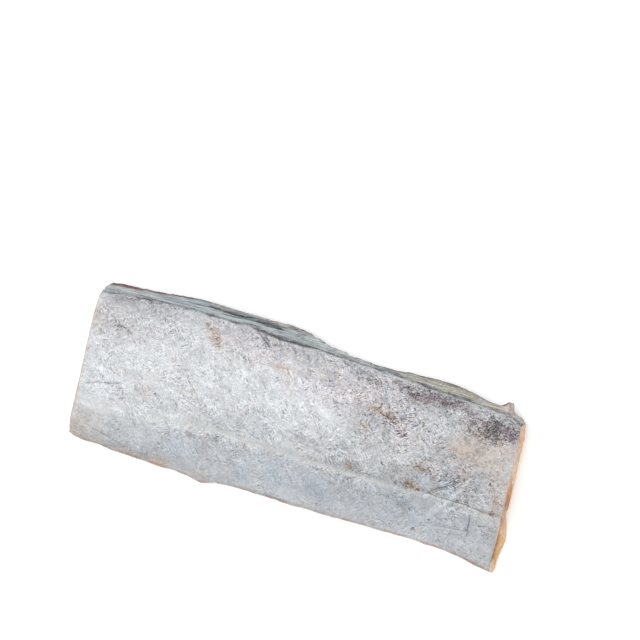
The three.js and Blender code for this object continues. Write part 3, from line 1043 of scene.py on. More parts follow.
BODY_STAINS_AND_SHADING: StainsAndShading = {
    # Painted shade, partly the skin's own darker tone.
    Mark.SHADE: (
        (150.7, 34.3, 44, 30, 0.72), (111.3, 4.2, 110, 9, 0.2, 1), (16.7, 59.9, 28, 6, 0.24, 3),
        (85.3, 60, 12, 3, 0.24), (136.9, 56.1, 18, 5, 0.2), (161.5, 33.3, 5, 4, 0.4),
        (61.2, 22.9, 8, 5, 0.28), (83.3, 18, 8, 4, 0.2), (121.1, 42.1, 7, 5, 0.36), (102.2, 51, 8, 4, 0.2),
        (21, 49.8, 8, 5, 0.26), (6.8, 42.7, 6, 5, 0.2), (9.8, 47.6, 4, 1.6, 0.3, 8),
        (161.5, 41.3, 9, 5, 0.55), (165.4, 33.4, 10, 7, 0.3), (111.1, 49.1, 14, 7, 0.4),
        (91.3, 18, 36, 4, 0.2), (10.8, 44.8, 12, 7, 0.2), (52.6, 52.9, 2.2, 1.5, 0.3, -65),
        (123.4, 46.9, 6, 2.2, 0.42, -10), (116.9, 23.1, 2, 1.5, 0.85), (144.3, 23.1, 3.4, 1.6, 0.22),
        (137, 22.3, 5, 2, 0.3), (142.4, 15, 3.6, 1.6, 0.55), (62.2, 17.1, 2.2, 1.4, 0.45),
        (52.9, 14.4, 1.8, 1, 0.4), (107.5, 9, 3.4, 2.2, 0.65), (76, 5.7, 2.6, 1.6, 0.5),
        (20.4, 22, 2.2, 3.4, 0.14, 10), (31, 25.7, 6, 2.6, 0.12), (59.1, 9.8, 14, 5, 0.16),
        (143.6, 60.2, 6, 1, 0.1, -3), (167.4, 54.2, 4, 4.4, 0.24), (174.3, 56.2, 3.4, 3.2, 0.1, -20),
        (14.2, 47.5, 6.4, 2, 0.6, -7), (13.7, 58.9, 11, 1.2, 0.16, 6), (92.1, 54.2, 7, 4, 0.28),
        (74.3, 45.3, 2.6, 2.2, 0.5), (50.2, 45.7, 4, 3, 0.3), (7.8, 44.1, 3, 3, 0.25),
        (26, 45.2, 3, 2.4, 0.32), (40.1, 46.2, 7, 3, 0.2), (114.1, 37.1, 5, 3, 0.4, -20),
        (110.1, 45.4, 2.4, 2.4, 0.4), (112, 27.2, 3, 2.4, 0.35), (88, 25.6, 5, 2, 0.3),
        (131.9, 46, 4, 2.4, 0.6), (124, 41.5, 3, 2, 0.35), (135.7, 25.3, 3, 2.4, 0.6),
        (147.6, 27.9, 3, 2.4, 0.4), (158.4, 25.9, 3, 2.4, 0.3), (164.4, 32.9, 2.6, 2, 0.3),
        (24, 1.2, 13, 1.8, 0.55), (44.6, 3.5, 4, 1.6, 0.4), (88.8, 0.9, 6, 1.2, 0.6),
        (87.6, 49.8, 3.4, 2, 0.4), (153.6, 33.6, 4, 3, 0.35), (54.1, 54.2, 3, 3, 0.3),
        (36.2, 0.9, 3, 2, 0.5), (113.4, 10.7, 12, 3, 0.2), (176.9, 17.1, 4, 5, 0.2),
        (171.1, 58.3, 3, 2, 0.3), (145.6, 56.3, 2, 2, 0.3), (7.3, 57.6, 3, 1.6, 0.35),
    ),
    # Painted highlights, partly the skin's own lighter tone.
    Mark.GLEAM: (
        (163.6, 59.7, 8, 2.4, 0.4), (174.1, 60.1, 2.6, 1.2, 0.45, -20), (6.5, 17.5, 8, 9, 0.5),
        (43, 17.7, 8, 4, 0.3), (101.2, 42.1, 9, 5, 0.45), (83.3, 27, 8, 4, 0.2),
        (111.2, 60.6, 40, 1.6, 0.4), (43.1, 58.9, 12, 3, 0.35), (141.2, 5.4, 22, 4, 0.3),
        (2.2, 55.4, 2, 3.2, 0.9), (173.2, 45.7, 5, 6, 0.35), (105, 54.7, 1.8, 4, 0.6),
        (99.9, 58.2, 4, 2.4, 0.3), (108.5, 34.6, 2.2, 2, 0.5), (119.3, 27.3, 2.2, 2.2, 0.5),
        (126.8, 24.8, 5, 3, 0.4), (135.8, 33.1, 8, 2.4, 0.5, 8), (67.2, 33.4, 2.4, 2.2, 0.4),
        (52.1, 32.4, 6, 3, 0.3), (15.8, 30.2, 3, 2, 0.35), (30, 34.2, 10, 4, 0.2), (25.8, 28.2, 10, 3, 0.2),
        (7.3, 5.9, 4, 6, 0.4), (5.7, 34.1, 2, 7, 0.3), (96.2, 5.5, 26, 5, 0.22), (151, 7, 24, 6, 0.24),
        (127.7, 57.3, 2.6, 1.8, 0.5), (134.7, 56.9, 3, 2, 0.4), (149.6, 54.4, 3, 2.4, 0.5),
        (155.4, 56.7, 2.4, 1.8, 0.5), (163.3, 56.4, 2, 1.6, 0.5), (174.1, 55, 2, 2, 0.3),
        (87.9, 58.2, 8, 1.6, 0.35), (35.1, 61, 8, 2, 0.3), (169.1, 23.6, 5, 2, 0.3),
        (90.3, 37.5, 2, 3, 0.25), (167.3, 38.8, 5, 4, 0.25), (109.6, 59, 3, 2, 0.5),
        (153.4, 2.8, 3, 1.6, 0.5), (174.8, 8, 3, 2.6, 0.4), (34.6, 26.6, 2.6, 2.4, 0.3),
        (125, 47.8, 2, 1, 0.3),
    ),
    Mark.BLUE: (
        (89.3, 11, 20, 6, 0.6), (47, 8.7, 12, 5, 0.5), (107.3, 9, 5, 3, 0.8), (76.2, 5.7, 3, 2, 0.8),
        (143, 12.4, 26, 7, 0.5), (12.8, 56.9, 14, 4, 0.12, 4), (157.6, 26.4, 4, 4, 0.35),
        (145.8, 26.9, 3, 2.4, 0.5), (154.6, 31.3, 5, 3, 0.2), (168.9, 34.4, 4, 3, 0.3),
    ),
    Mark.LILAC: (
        (105.2, 50.1, 24, 8, 0.85, -4), (63.2, 56, 14, 6, 0.7), (23, 45.8, 12, 5, 0.4),
        (133.9, 41.2, 8, 2.6, 0.9, -20), (8.8, 51.8, 8, 6, 0.3), (20.4, 22, 2.4, 3.6, 0.6),
        (31, 25.7, 6, 3, 0.5), (118.6, 56.6, 4, 3.4, 0.7), (160.5, 35.8, 5, 2.6, 0.7),
        (152.6, 32.3, 6, 3, 0.5),
    ),
    Mark.RUST: (
        (131.9, 42.8, 4, 1.5, 0.15, -20), (161.5, 34.7, 3, 1.6, 0.5), (168.3, 40.3, 6, 4, 0.35),
        (46.4, 58.3, 2.6, 1.7, 0.5, -20), (50.2, 55.3, 3.2, 2.8, 0.8, -50), (52.6, 52.9, 2.4, 1.4, 1, -65),
        (79, 51.7, 2, 1, 0.7), (121.5, 47.7, 4.4, 1.9, 0.85, -6), (127.9, 46.2, 3, 1.8, 0.7, -15),
        (118.2, 39.6, 3, 1.4, 0.8), (74.5, 17.2, 2.6, 1.3, 0.6, -15), (121.6, 13.5, 3, 1.1, 0.4, -5),
        (116.9, 23.1, 2, 1.5, 1), (142.8, 31.2, 4.6, 1.5, 0.45, 4), (142.5, 23.5, 5, 1.9, 0.4, -12),
        (177.4, 26.1, 1.6, 4.6, 0.7), (173.4, 21.6, 2.6, 1.2, 0.65), (158.5, 43.8, 6, 3, 0.4),
        (43.4, 1.2, 3.6, 1.6, 0.6, 8), (158.5, 52.2, 7, 4, 0.35), (164, 50.2, 3.4, 2.4, 0.8),
        (153, 41.6, 7, 2, 0.35),
    ),
    Mark.PEACH: (
        (48.6, 56.9, 4.2, 2.2, 0.4, -40), (79.3, 51.6, 4.4, 2, 0.65), (160.1, 43.3, 8.6, 4.6, 0.9, -4),
        (171.3, 43.9, 7, 5.4, 0.3), (173.2, 49.4, 4.8, 2.4, 0.85), (173.8, 38.3, 6, 8, 0.55),
        (43.8, 0.4, 5.6, 2.6, 0.9), (20.4, -0.3, 26, 1.4, 0.5, -1), (5, 1.3, 4, 3.6, 0.6),
        (9.4, 8.4, 6, 5, 0.4), (3.1, 49.2, 1.6, 3.4, 0.8, 4), (3.6, 55.8, 1.8, 3, 0.3),
        (5.4, 45.7, 3, 5, 0.3), (176.3, 27.5, 2.4, 8, 0.6), (9.3, 4.4, 6, 4, 0.35), (61, 0.4, 4, 1.2, 0.7),
    ),
    Mark.OLIVE: (
        (121.7, 47.5, 3.8, 1.5, 0.75, -6), (79.2, 51.6, 2, 1, 0.5), (127, 46.3, 2.8, 1.5, 0.55, -10),
        (116.7, 23.1, 1.4, 1.1, 0.9), (126, 36.2, 8, 4, 0.22, -20), (141.1, 23.9, 2.6, 1.8, 0.8, -20),
        (144.4, 30.7, 3, 1.2, 1), (144.8, 23, 2.8, 1.4, 0.8), (151.1, 29.1, 1.6, 1.4, 0.5),
        (135, 27.3, 5, 4, 0.16, -20),
    ),
    Mark.MAROON: (
        (127.9, 46, 2.6, 1.5, 0.7, -15), (125.1, 60.1, 3.6, 1.1, 0.6, -3), (132, 58.1, 5, 2.2, 0.62, -12),
        (137.9, 56.7, 4, 2.2, 0.66, -10), (145.3, 59, 7, 1.8, 0.8, -3), (156.1, 57.1, 4.2, 2.2, 0.55, -24),
        (169.4, 56.2, 9, 5, 0.5, -12), (134.3, 41.3, 2.8, 1.5, 0.62, -10), (161.3, 42.3, 1.2, 0.9, 0.5),
        (174.9, 54.2, 3.4, 4.2, 0.55, -20), (18.3, -1, 17, 0.7, 0.5, -1),
    ),
    Mark.SOOT: (
        (127.8, 46, 2.2, 1.1, 0.6, -15), (123, 47.3, 1.8, 0.8, 0.45), (141.1, 22.9, 1.6, 1.1, 0.66),
        (146.2, 22.5, 1.4, 0.9, 0.55), (144.4, 30.9, 2, 0.7, 0.5), (173.3, 32.9, 2.4, 2.4, 0.38),
        (161, 33.3, 3.4, 2.6, 0.3), (166.5, 23.1, 1.8, 1.3, 0.42), (161.1, 23.2, 1.3, 0.9, 0.4),
        (148.4, 7, 0.9, 0.6, 1.1), (134.9, 49.7, 1.4, 0.8, 0.5), (141, 60.7, 18, 0.7, 0.5, -1),
        (132, 57.3, 4.4, 2.2, 0.42, -12), (146.8, 58.1, 6, 1.4, 0.4), (167.2, 54.6, 3.2, 4.2, 1.2, 10),
        (174.8, 53.8, 2.2, 2.8, 0.45, -20), (169.3, 51.6, 4.4, 2.2, 0.6, -10), (175.4, 59.1, 2.6, 0.8, 0.6),
        (159.2, 53.8, 2.6, 3.4, 0.45), (177.3, 22.3, 1.8, 1, 0.5), (13.7, 59.3, 11, 0.6, 0.25, 6),
        (29.8, 60.9, 8, 0.7, 0.3, 3), (163.1, 51.2, 3.4, 1.8, 0.5, -10),
    ),
    Mark.COARSE: (
        (129, 48.1, 26, 13, 0.6, -14), (93.3, 57, 40, 6, 0.45), (164.5, 30.4, 16, 8, 0.5),
        (24.9, 56.9, 26, 4, 0.3, 3), (10.4, 9.5, 12, 9, -0.3), (167.3, 44.3, 14, 6, -0.6),
        (174.6, 36, 7, 8, -0.4), (166.7, 12.6, 14, 9, -0.4), (21, 39.8, 26, 16, -0.16),
    ),
    Mark.COMBED: ((73.3, 40, 22, 12, 0.8, -10),),
}
FIN_STAINS_AND_SHADING: StainsAndShading = {
    # Painted shade on the fin, partly its own darker tone.
    Mark.SHADE: (
        (53, 66.4, 18, 1.2, 0.4, 1), (21, 61.5, 22, 1.4, 0.3, 3), (87.6, 63.6, 7, 1.4, 0.5),
        (21, 63.6, 8, 1.2, 0.35, 3), (80, 64.6, 7, 1.6, 0.3), (147, 65.6, 14, 1, 0.3, -2),
    ),
    # Painted highlights on the fin, partly its own lighter tone.
    Mark.GLEAM: (
        (81, 65.2, 20, 1.4, 0.5), (45, 63.6, 8, 1.4, 0.4, 2), (21, 62.4, 22, 1.2, 0.3, 4),
        (41, 63.8, 6, 1.6, 0.35, 2), (71.4, 66.6, 2.4, 1.2, 0.6), (5.6, 61, 3, 1.6, 0.4),
        (140, 63.8, 10, 1.3, 0.8, -1), (162.6, 62.8, 8, 1.1, 0.5), (174.6, 61, 3, 2, 0.5, -30),
        (131, 65, 6, 0.6, 0.4, 8), (170.2, 64.4, 3, 3, 0.7), (152, 63, 12, 1.4, 0.9, -3),
        (101, 64, 12, 1.6, 0.6, -2),
    ),
    Mark.MAROON: (
        (39, 67.4, 5, 0.5, 0.5, 3), (80, 68, 3.6, 0.8, 0.7),
    ),
    Mark.RUST: (
        (75, 68, 3.6, 0.8, 0.8, 2), (85, 67.8, 2.6, 1, 0.6), (61, 67.6, 26, 0.35, 0.5, 1),
    ),
    Mark.LILAC: ((17, 62.4, 16, 1.6, 0.4, 3),),
    Mark.BLUE: ((32, 64.6, 16, 2.2, 0.4, 4),),
    Mark.OLIVE: (
        (67, 67.6, 8, 0.8, 0.35, 1), (79.6, 67.8, 4, 0.8, 0.6), (105, 64, 9, 2.6, 0.35),
        (147, 64.8, 26, 3.5, 0.72, -1),
    ),
    Mark.PEACH: (
        (164.6, 62.6, 5, 1.2, 0.7), (169.8, 64.4, 3.4, 3.4, 1.1), (175.2, 60.6, 2.6, 1.8, 1, -30),
        (129, 63, 8, 1.2, 0.5, 3),
    ),
}


@dataclass(frozen=True)
class Spots:
    """Where the body's mesh points lie."""

    x: Array
    y: Array
    place: Array  # along the body, before the cuts lean
    depth: Array  # above the belly, before the edges are rounded
    share: Array  # of the way from the belly edge to the back
    level: Array  # share of the thickness
    half: Array  # half the thickness
    ends: Array  # distance to the nearer cut, 0 on a cut
    cut: Array  # whether the point is on a cut


@dataclass(frozen=True)
class CutFace:
    """What a cut shows: flesh with the slit between the belly walls, the backbone and a blood vessel."""

    slit_level: float = 0.79
    slit_depth: float = 2.6
    slit_width: float = 0.8
    slit_span: Stretch = (3.0, 6.0, 17.0, 20.0)
    wall_span: Stretch = (2.0, 7.0, 13.0, 21.0)
    bulge: float = 0.5
    back_bulge: Bands = ((53.0, 6.0, 0.5),)
    flesh_relief: float = 0.16
    flesh_waves: Range = (1.6, 6.0)
    wander: float = 1.1
    wander_waves: Range = (4.0, 13.0)
    deep_flesh: Bands = ((30.5, 4.6, 1.15), (50.0, 5.0, 0.2))
    shades: Bands = ((27.2, 1.5, 1.3), (21.2, 1.8, 0.9), (24.0, 2.0, 0.3))
    belly_shade: Bands = ((7.0, 3.0, 0.4),)
    shade_stray: float = 1.4
    shade_waves: Waves = (51, 3, 9)
    spine_depth: float = 38.0
    spine_level: float = 0.52
    bone_radius: float = 2.6
    bone_rise: float = 0.35
    pit_share: float = 0.38
    pit_depth: float = 0.5
    spines_span: Stretch = (21.0, 24.0, 56.0, 59.0)
    spines_width: float = 0.35
    spines_strength: float = 0.45
    vessel_gap: float = 4.42
    vessel_radius: float = 0.9
    vessel_depth: float = 0.5
    vessel_strength: float = 0.9
    ring_squash: Range = (0.8, 1.7)

    def relief(self, depth: Array, level: Array, half: Array, seed: int) -> dict[str, Array]:
        """Works out what stands out of a cut and how each part of it is dressed.

        Flesh bulges as a parabola between the two skins. The slit is a hump sunk into it, the backbone a
        raised disc with a pit, and the blood vessel below it a small pit.

        Args:
            depth: Depths above the belly.
            level: Shares of the thickness.
            half: Half the thickness.
            seed: Start of the random draws, different for each cut.

        Returns:
            The reach outwards, the strength of slit, spines, blood, belly wall and deep flesh, the distance
            from the backbone as a share of its radius, and the same as the flesh grows in rings around it.
        """
        thick = (level - self.slit_level) * 2 * half
        # The gap between the belly walls sinks into the cut; its dark colour is painted shade.
        shaded_slit = stretch(depth, *self.slit_span) * hump(thick, self.slit_width)
        across = (level - self.spine_level) * 2 * half
        gap = np.hypot(depth - self.spine_depth, across)
        beyond_bone = ease(gap, self.bone_radius * 0.8, self.bone_radius)
        pit = hump(gap, self.bone_radius * self.pit_share)
        vessel = hump(np.hypot(depth - self.spine_depth + self.vessel_gap, across), self.vessel_radius)
        spines = hump(across, self.spines_width) * stretch(depth, *self.spines_span)
        grain = waves(depth, level * 2 * half, seed, *self.flesh_waves)
        shifted = depth + self.wander * waves(depth, level * 2 * half, seed + 4, *self.wander_waves)
        wall = stretch(shifted, *self.wall_span) * (1 - shaded_slit)
        wall *= (1 - ease(thick, -0.4, 0.8)) * hump(np.minimum(thick, 0), 6)
        inner = 4 * level * (1 - level)
        long, wide = self.ring_squash
        reach = (self.bulge + bands(depth, self.back_bulge) + self.flesh_relief * grain) * inner
        reach += (self.bone_rise * (1 - beyond_bone) - self.pit_depth * pit - self.vessel_depth * vessel
                  - self.slit_depth * shaded_slit)
        return {
            "reach": reach,
            "shaded_slit": shaded_slit,
            "spine": gap / self.bone_radius,
            "bone": self.spines_strength * spines * beyond_bone,
            "blood": self.vessel_strength * vessel,
            "wall": wall,
            "deep": np.clip(bands(shifted, self.deep_flesh), 0, 1) * ease(inner, 0.1, 0.8),
            "ring": np.hypot(long * (depth - self.spine_depth), wide * across) + 0.35 * grain,
        }

    def shade(self, at: Spots) -> Array:
        """Works out the shadows on the cuts: humps of the depth, which strays by seeded waves.

        Args:
            at: The mesh points.

        Returns:
            The shadows' strength, weaker towards the lower skin.
        """
        stray = self.shade_stray * waves(at.depth, at.level * 2 * at.half, *self.shade_waves)
        stray = stray * (1 - ease(at.level, 0.5, 0.95))
        shade = bands(at.depth + stray, self.shades) + bands(at.depth, self.belly_shade)
        return shade * mix(0.3, 1, ease(at.level, 0.2, 0.75))


@dataclass
class FishBody:
    """The section's body: two flanks of silver skin, the belly edge, the blunt back and two cut faces."""

    form: FishForm
    cut_face: CutFace = CutFace()
    shell: Shell = Shell(along=340, across=120, through=16)
    end_crowding: float = 0.3
    edge_crowding: float = 0.55
    belly_round: float = 0.6
    belly_ripple: float = 0.12
    belly_waves: Waves = (13, 2.5, 14)
    back_round: float = 1.0
    row_warp: float = 0.1
    row_warp_middle: float = 0.697
    skin_span: Stretch = (0.0, 0.03, 0.985, 1.0)
    uneven: tuple[tuple[float, ...], ...] = ((0.10, 3, 14, 40), (0.05, 5, 4, 11), (0.018, 7, 1.6, 3.4))
    lower_relief: float = 0.3
    pucker: float = 0.05
    pucker_turn: float = -42.0
    pucker_waves: Waves = (9, 4, 9)
    pucker_span: Range = (45.0, 58.0)
    ridge: float = 0.03
    ridge_width: float = 0.5
    rim_width: float = 0.45
    rim_spread: Bands = ((43.0, 6.0, 0.7),)
    skin_rim_width: float = 0.5
    skin_rim_gap: Bands = ((48.0, 10.0, 0.75),)
    hem_width: float = 0.42
    hem_waves: Waves = (49, 3, 18)
    # How the painted shade in the groove below the back breaks up and spreads.
    back_crease: float = 0.34
    back_crease_waves: Waves = (45, 2.2, 16)
    back_crease_spread: Waves = (47, 4, 20)
    # Folds that carry a painted highlight; the first ones also stand up as relief.
    folds: tuple[Trail, ...] = (
        Trail(((164, 31.6), (162.4, 27.4), (158, 20.4), (153.6, 14)), 1.3, 0.8),
        Trail(((162, 26), (159.4, 21.6)), 0.9, 0.7),
        Trail(((154.8, 19.4), (152.6, 15.4)), 0.5, 0.8),
        Trail(((157.4, 17), (161, 20)), 0.5, 0.8),
        Trail(((124, 40.5), (128.5, 44)), 0.8, 0.5),
        Trail(((62, 19.1), (95, 19.0), (134, 20)), 0.7, 0.3),
    )
    raised_folds: int = 2
    fold_height: float = 0.3
    sharp_angle: float = 62.0

    def levels(self, through: Array) -> Array:
        """Gathers the mesh rows near the slit by a sine.

        Args:
            through: Even shares of the thickness.

        Returns:
            The rows' own shares of the thickness.
        """
        turn = 2 * np.pi
        shift = np.sin(turn * (through - self.row_warp_middle)) + math.sin(turn * self.row_warp_middle)
        return through - self.row_warp * shift

    def relief(self, x: Array, y: Array) -> Array:
        """Works out the skin's own unevenness.

        It is three sums of waves, from broad swells to fine grain, a pucker of waves drawn out slantwise near
        the back, a fine pale ridge in the middle of the lateral furrow, and the creases taken off as humps.
        The first folds stand up as humps too.

        Args:
            x: Places along the body.
            y: Depths above the belly.

        Returns:
            Heights to add to a flank.
        """
        height = sum(high * waves(x, y, *wave) for high, *wave in self.uneven)
        turn = math.radians(self.pucker_turn)
        slant = (x * math.cos(turn) + y * math.sin(turn)) * 3.0
        pucker = waves(slant, x + y, *self.pucker_waves)
        height += self.pucker * ease(y, *self.pucker_span) * (0.3 + 0.7 * hump(x - 80, 30)) * pucker
        height += self.ridge * hump(y - curve_at(LATERAL_LINE, x), self.ridge_width)
        for crease in CREASES:
            height -= crease.depth * crease.cover(x, y)
        for lit_fold in self.folds[:self.raised_folds]:
            height += self.fold_height * lit_fold.cover(x, y)
        return height

    def rims(self, at: Spots) -> Array:
        """Works out the rim where skin and cut meet.

        Args:
            at: The mesh points.

        Returns:
            Its strength: on a cut a hump of the distance to the skin, wider high up, and on the skin a hump
            of the distance to the cut, weaker high up.
        """
        skins = np.minimum(at.level, 1 - at.level) * 2 * at.half
        edges = np.minimum(at.share, 1 - at.share) * self.form.depth
        on_cut = hump(np.minimum(skins, edges), self.rim_width + bands(at.depth, self.rim_spread))
        on_skin = hump(at.ends, self.skin_rim_width) * (1 - bands(at.depth, self.skin_rim_gap))
        return np.where(at.cut, on_cut, on_skin)

    def looks(self, at: Spots) -> dict[str, Array]:
        """Works out how strongly each look shows.

        The upper flank has the listed stains, painted shade and painted highlights. The lower one has them
        weaker and turned end for end. Seeded waves break the painted shade in the groove below the back,
        which is partly the skin's own dark colour there, and the hem of the belly edge. A pale ridge, a
        painted highlight and painted shade run along the lateral line as humps of the distance to it.

        Args:
            at: The mesh points.

        Returns:
            The strength of each kind of stain, painted shade and painted highlight; of the painted
            highlight on the lit folds and the painted shade along the creases; and of the dashes, ridge,
            rim and hem.
        """
        x, depth = at.x, at.depth
        top = ease(at.level, 0.2, 0.6)
        seen, unseen = stain(BODY_STAINS_AND_SHADING, x, at.y), stain(BODY_STAINS_AND_SHADING, BODY_LENGTH - x, at.y)
        seen[Mark.COARSE] = np.clip(seen[Mark.COARSE] + 0.4 * ease(depth, 10, 26), 0, 1)
        looks = {kind: mix(0.7 * unseen[kind], seen[kind], top) for kind in Mark}
        # Painted shade in the groove just below the back, partly the skin's own dark colour there, broken by
        # seeded waves.
        broken = 0.26 + 0.14 * ease(x, 44, 64) + 0.35 * hump(x - 84, 22)
        broken = broken + self.back_crease * ripples(x, *self.back_crease_waves)
        spread = 0.7 + 0.3 * ripples(x, *self.back_crease_spread)
        below_back = hump(curve_at(BACK_LINE, at.place) - depth - 0.1, spread)
        looks[Mark.CREASE] = np.maximum(looks[Mark.CREASE], np.clip(broken, 0, 1) * below_back)
        # Along the lateral line: painted highlight above it, painted shade just below it, and painted shade a
        # little further above it near x 119.
        gap = depth - curve_at(LATERAL_LINE, at.place)
        above = mix(0.62, 0.15, ease(x, 40, 66)) * ease(x, 2, 16)
        looks[Mark.GLEAM] += above * hump(gap - 1.5, 1.5) * top
        looks[Mark.SHADE] = np.where(at.cut, self.cut_face.shade(at), looks[Mark.SHADE])
        looks[Mark.SHADE] += 0.27 * hump(gap + 1.3, 0.8) * top * (at.ends > 0)
        looks[Mark.SHADE] += 0.45 * hump(gap - 2.6, 1.0) * hump(x - 119, 8) * top
        looks["ridge_line"] = hump(gap - 0.45, 0.65) * (0.55 + 0.45 * ease(x, 24, 50))
        # Painted highlight along the lit folds of the upper flank.
        looks["lit_fold"] = np.max([lit_fold.depth * lit_fold.cover(x, at.y) for lit_fold in self.folds], axis=0) * top
        looks["crease_side"], ink = trace(CREASES, x, at.y)
        looks["crease_ink"] = ink * top
        looks["dash_side"], looks["dash_ink"] = ridge_dashes(x, depth)
        looks["rim"] = self.rims(at)
        hem = np.clip(0.7 + 0.3 * ripples(x, *self.hem_waves), 0, 1)
        hem = hump(at.share * self.form.depth, self.hem_width) * hem
        looks["hem"] = hem * mix(0.62, 1.3, hump(x - 38, 12))
        return looks

    def build(self) -> tuple[Mesh, Array]:
        """Builds the body's mesh.

        Returns:
            The mesh with its attributes, and the finish of each face.
        """
        form = self.form
        shares, faces, sides = self.shell.lattice()
        along, across, through = shares.T
        run = crowd(along, self.end_crowding)
        share, level = crowd(across, self.edge_crowding), self.levels(through)
        place = run * BODY_LENGTH
        depth, height, half = form.section(place, share)
        upper, lower = form.flanks(place, depth, height, half)
        tail, head = form.cuts(depth, level)
        x = mix(tail, head, run)
        relief = self.relief(x, depth) * stretch(share, *self.skin_span)
        z = mix(np.maximum(lower - self.lower_relief * relief, 0), upper + relief, level)
        middle = 4 * level * (1 - level)
        belly = self.belly_round * middle + self.belly_ripple * ripples(x, *self.belly_waves)
        y = depth - belly * (across == 0) + self.back_round * middle * (across == 1)
        parts = {key: np.zeros_like(x) for key in ("shaded_slit", "spine", "bone", "blood", "wall", "deep", "ring")}
        for end, sign, seed in ((along == 0, -1, 41), (along == 1, 1, 43)):
            cut = self.cut_face.relief(depth, level, half, seed)
            x = x + sign * end * cut.pop("reach")
            for key, values in cut.items():
                parts[key] += end * values
        on_cut = (along == 0) | (along == 1)
        ends = np.where(on_cut, 0, np.minimum(x - tail, head - x))
        looks = self.looks(Spots(x, y, place, depth, share, level, half, ends, on_cut))
        mesh = Mesh(np.stack([x, y, z], axis=1), faces.tolist(), looks | parts)
        coats = np.where((sides == Side.TAIL) | (sides == Side.HEAD), Coat.FLESH, Coat.SKIN)
        return mesh, coats

    def dress(self, skin: bpy.types.Material, flesh: bpy.types.Material) -> bpy.types.Object:
        """Places the body and gives it its two finishes.

        Args:
            skin: The skin's material.
            flesh: The flesh's material.

        Returns:
            The body's object.
        """
        mesh, coats = self.build()
        piece = mesh.place("fish_body", "silver_skin")
        for coat in (skin, flesh):
            piece.data.materials.append(coat)
        piece.data.polygons.foreach_set("material_index", coats.astype(np.int32))
        piece.data.set_sharp_from_angle(angle=math.radians(self.sharp_angle))
        piece.data.update()
        return piece


@dataclass
class BackFin:
    """The fin along the back: a thin ragged membrane, folded nearly level with the flank."""

    form: FishForm
    shell: Shell = Shell(along=430, across=16, through=2)
    root: float = 1.2
    root_half: float = 1.25
    tip_half: float = 0.14
    droop: float = 0.22
    teeth: float = 0.28
    teeth_waves: Waves = (17, 1.3, 7)
    ripple: float = 0.22
    ripple_waves: Waves = (19, 5, 16)
    crowding: float = 0.2
    line_height: float = 0.10
    line_step: float = 1.05
    line_slope: float = 0.10
    line_span: Stretch = (0.1, 0.3, 0.8, 1.0)
    line_waves: Waves = (23, 8, 30)
    # Painted shade along the fin's root, partly the fin base's own dark colour.
    root_crease: float = 0.6
    root_crease_width: float = 0.5
    fringe_span: Range = (0.82, 0.94)
    tears: Bands = ((9.5, 8.0, 0.9), (36.0, 8.0, 0.4), (143.0, 18.0, 0.15), (168.0, 1.4, 0.6))
    tear_waves: Waves = (25, 2, 14)

    def edge(self, place: Array) -> Array:
        """Returns the free edge: the fin's smooth outline plus seeded waves for its ragged teeth."""
        ragged = self.teeth * ripples(place, *self.teeth_waves)
        return curve_at(FIN_LINE, place) + ragged * (0.35 + 0.65 * stretch(place, 60, 84, 92, 108))

    def reach(self, place: Array, share: Array) -> Array:
        """Returns depths above the belly, from the root, which is set into the back, to the edge."""
        return mix(curve_at(BACK_LINE, place) - self.root, self.edge(place), share)

    def half(self, share: Array) -> Array:
        """Returns half the membrane's thickness, which thins from root to edge by a power."""
        return mix(self.root_half, self.tip_half, np.minimum(share, 1) ** 0.8)

    def height(self, place: Array, share: Array) -> Array:
        """Works out the height of the fin's middle plane.

        It falls by the droop for each millimetre out of the back, and ripples by waves that grow outwards.

        Args:
            place: Places along the body.
            share: Shares of the way from root to edge.

        Returns:
            Heights above the table.
        """
        out = self.reach(place, share) - curve_at(BACK_LINE, place)
        ripple = self.ripple * share * waves(place, share * 3.0, *self.ripple_waves)
        return self.form.back_height - self.droop * np.maximum(out, 0) + ripple

    def build(self) -> Mesh:
        """Builds the membrane's mesh.

        Lines run along it as low ridges, slanting outwards towards the head-side cut: the sine of a phase
        that grows across the fin and falls a little along it, with seeded waves added.

        Returns:
            The mesh with its attributes.
        """
        shares, faces, _ = self.shell.lattice()
        along, share, through = shares.T
        run = crowd(along, self.crowding)
        place = run * BODY_LENGTH
        depth = self.reach(place, share)
        tail, head = self.form.cuts(depth, mix(0.5, through, ease(share, 0.15, 0.6)))
        x = mix(tail, head, run)
        phase = 2 * np.pi * (depth - self.line_slope * place) / self.line_step
        lines = self.line_height * np.sin(phase + waves(place, depth, *self.line_waves))
        lines *= stretch(share, *self.line_span)
        z = self.height(place, share) + (2 * through - 1) * (self.half(share) + lines)
        looks = stain(FIN_STAINS_AND_SHADING, x, depth)
        # Painted shade where the fin meets the back, partly the fin base's own dark colour.
        crease = self.root_crease * hump(depth - curve_at(BACK_LINE, place), self.root_crease_width)
        looks[Mark.CREASE] = np.maximum(looks[Mark.CREASE], crease)
        looks["dash_side"], looks["dash_ink"] = ridge_dashes(x, depth)
        torn = 0.25 + 0.25 * ripples(x, *self.tear_waves) + bands(x, self.tears)
        torn = torn * (1 - 0.8 * hump(x - 66, 12)) + 0.3 * hump(x - 26, 24)
        looks["fringe"] = np.clip(torn, 0, 1) * ease(share + 0.1 * hump(x - 9.5, 8), *self.fringe_span)
        looks["strand"] = np.zeros_like(x)
        return Mesh(np.stack([x, depth, z], axis=1), faces.tolist(), looks)

    def dress(self, membrane: bpy.types.Material) -> bpy.types.Object:
        """Places the membrane and gives it its finish.

        Args:
            membrane: The fin's material.

        Returns:
            The fin's object.
        """
        piece = self.build().place("back_fin", "fin")
        piece.data.materials.append(membrane)
        return piece


@dataclass(frozen=True)
class Bunch:
    """A number of strands, and the ranges that their sizes are drawn from."""

    count: int
    start: Range
    length: Range
    low: Range
    rise: Range
    radius: Range
    ink: Range | None = None


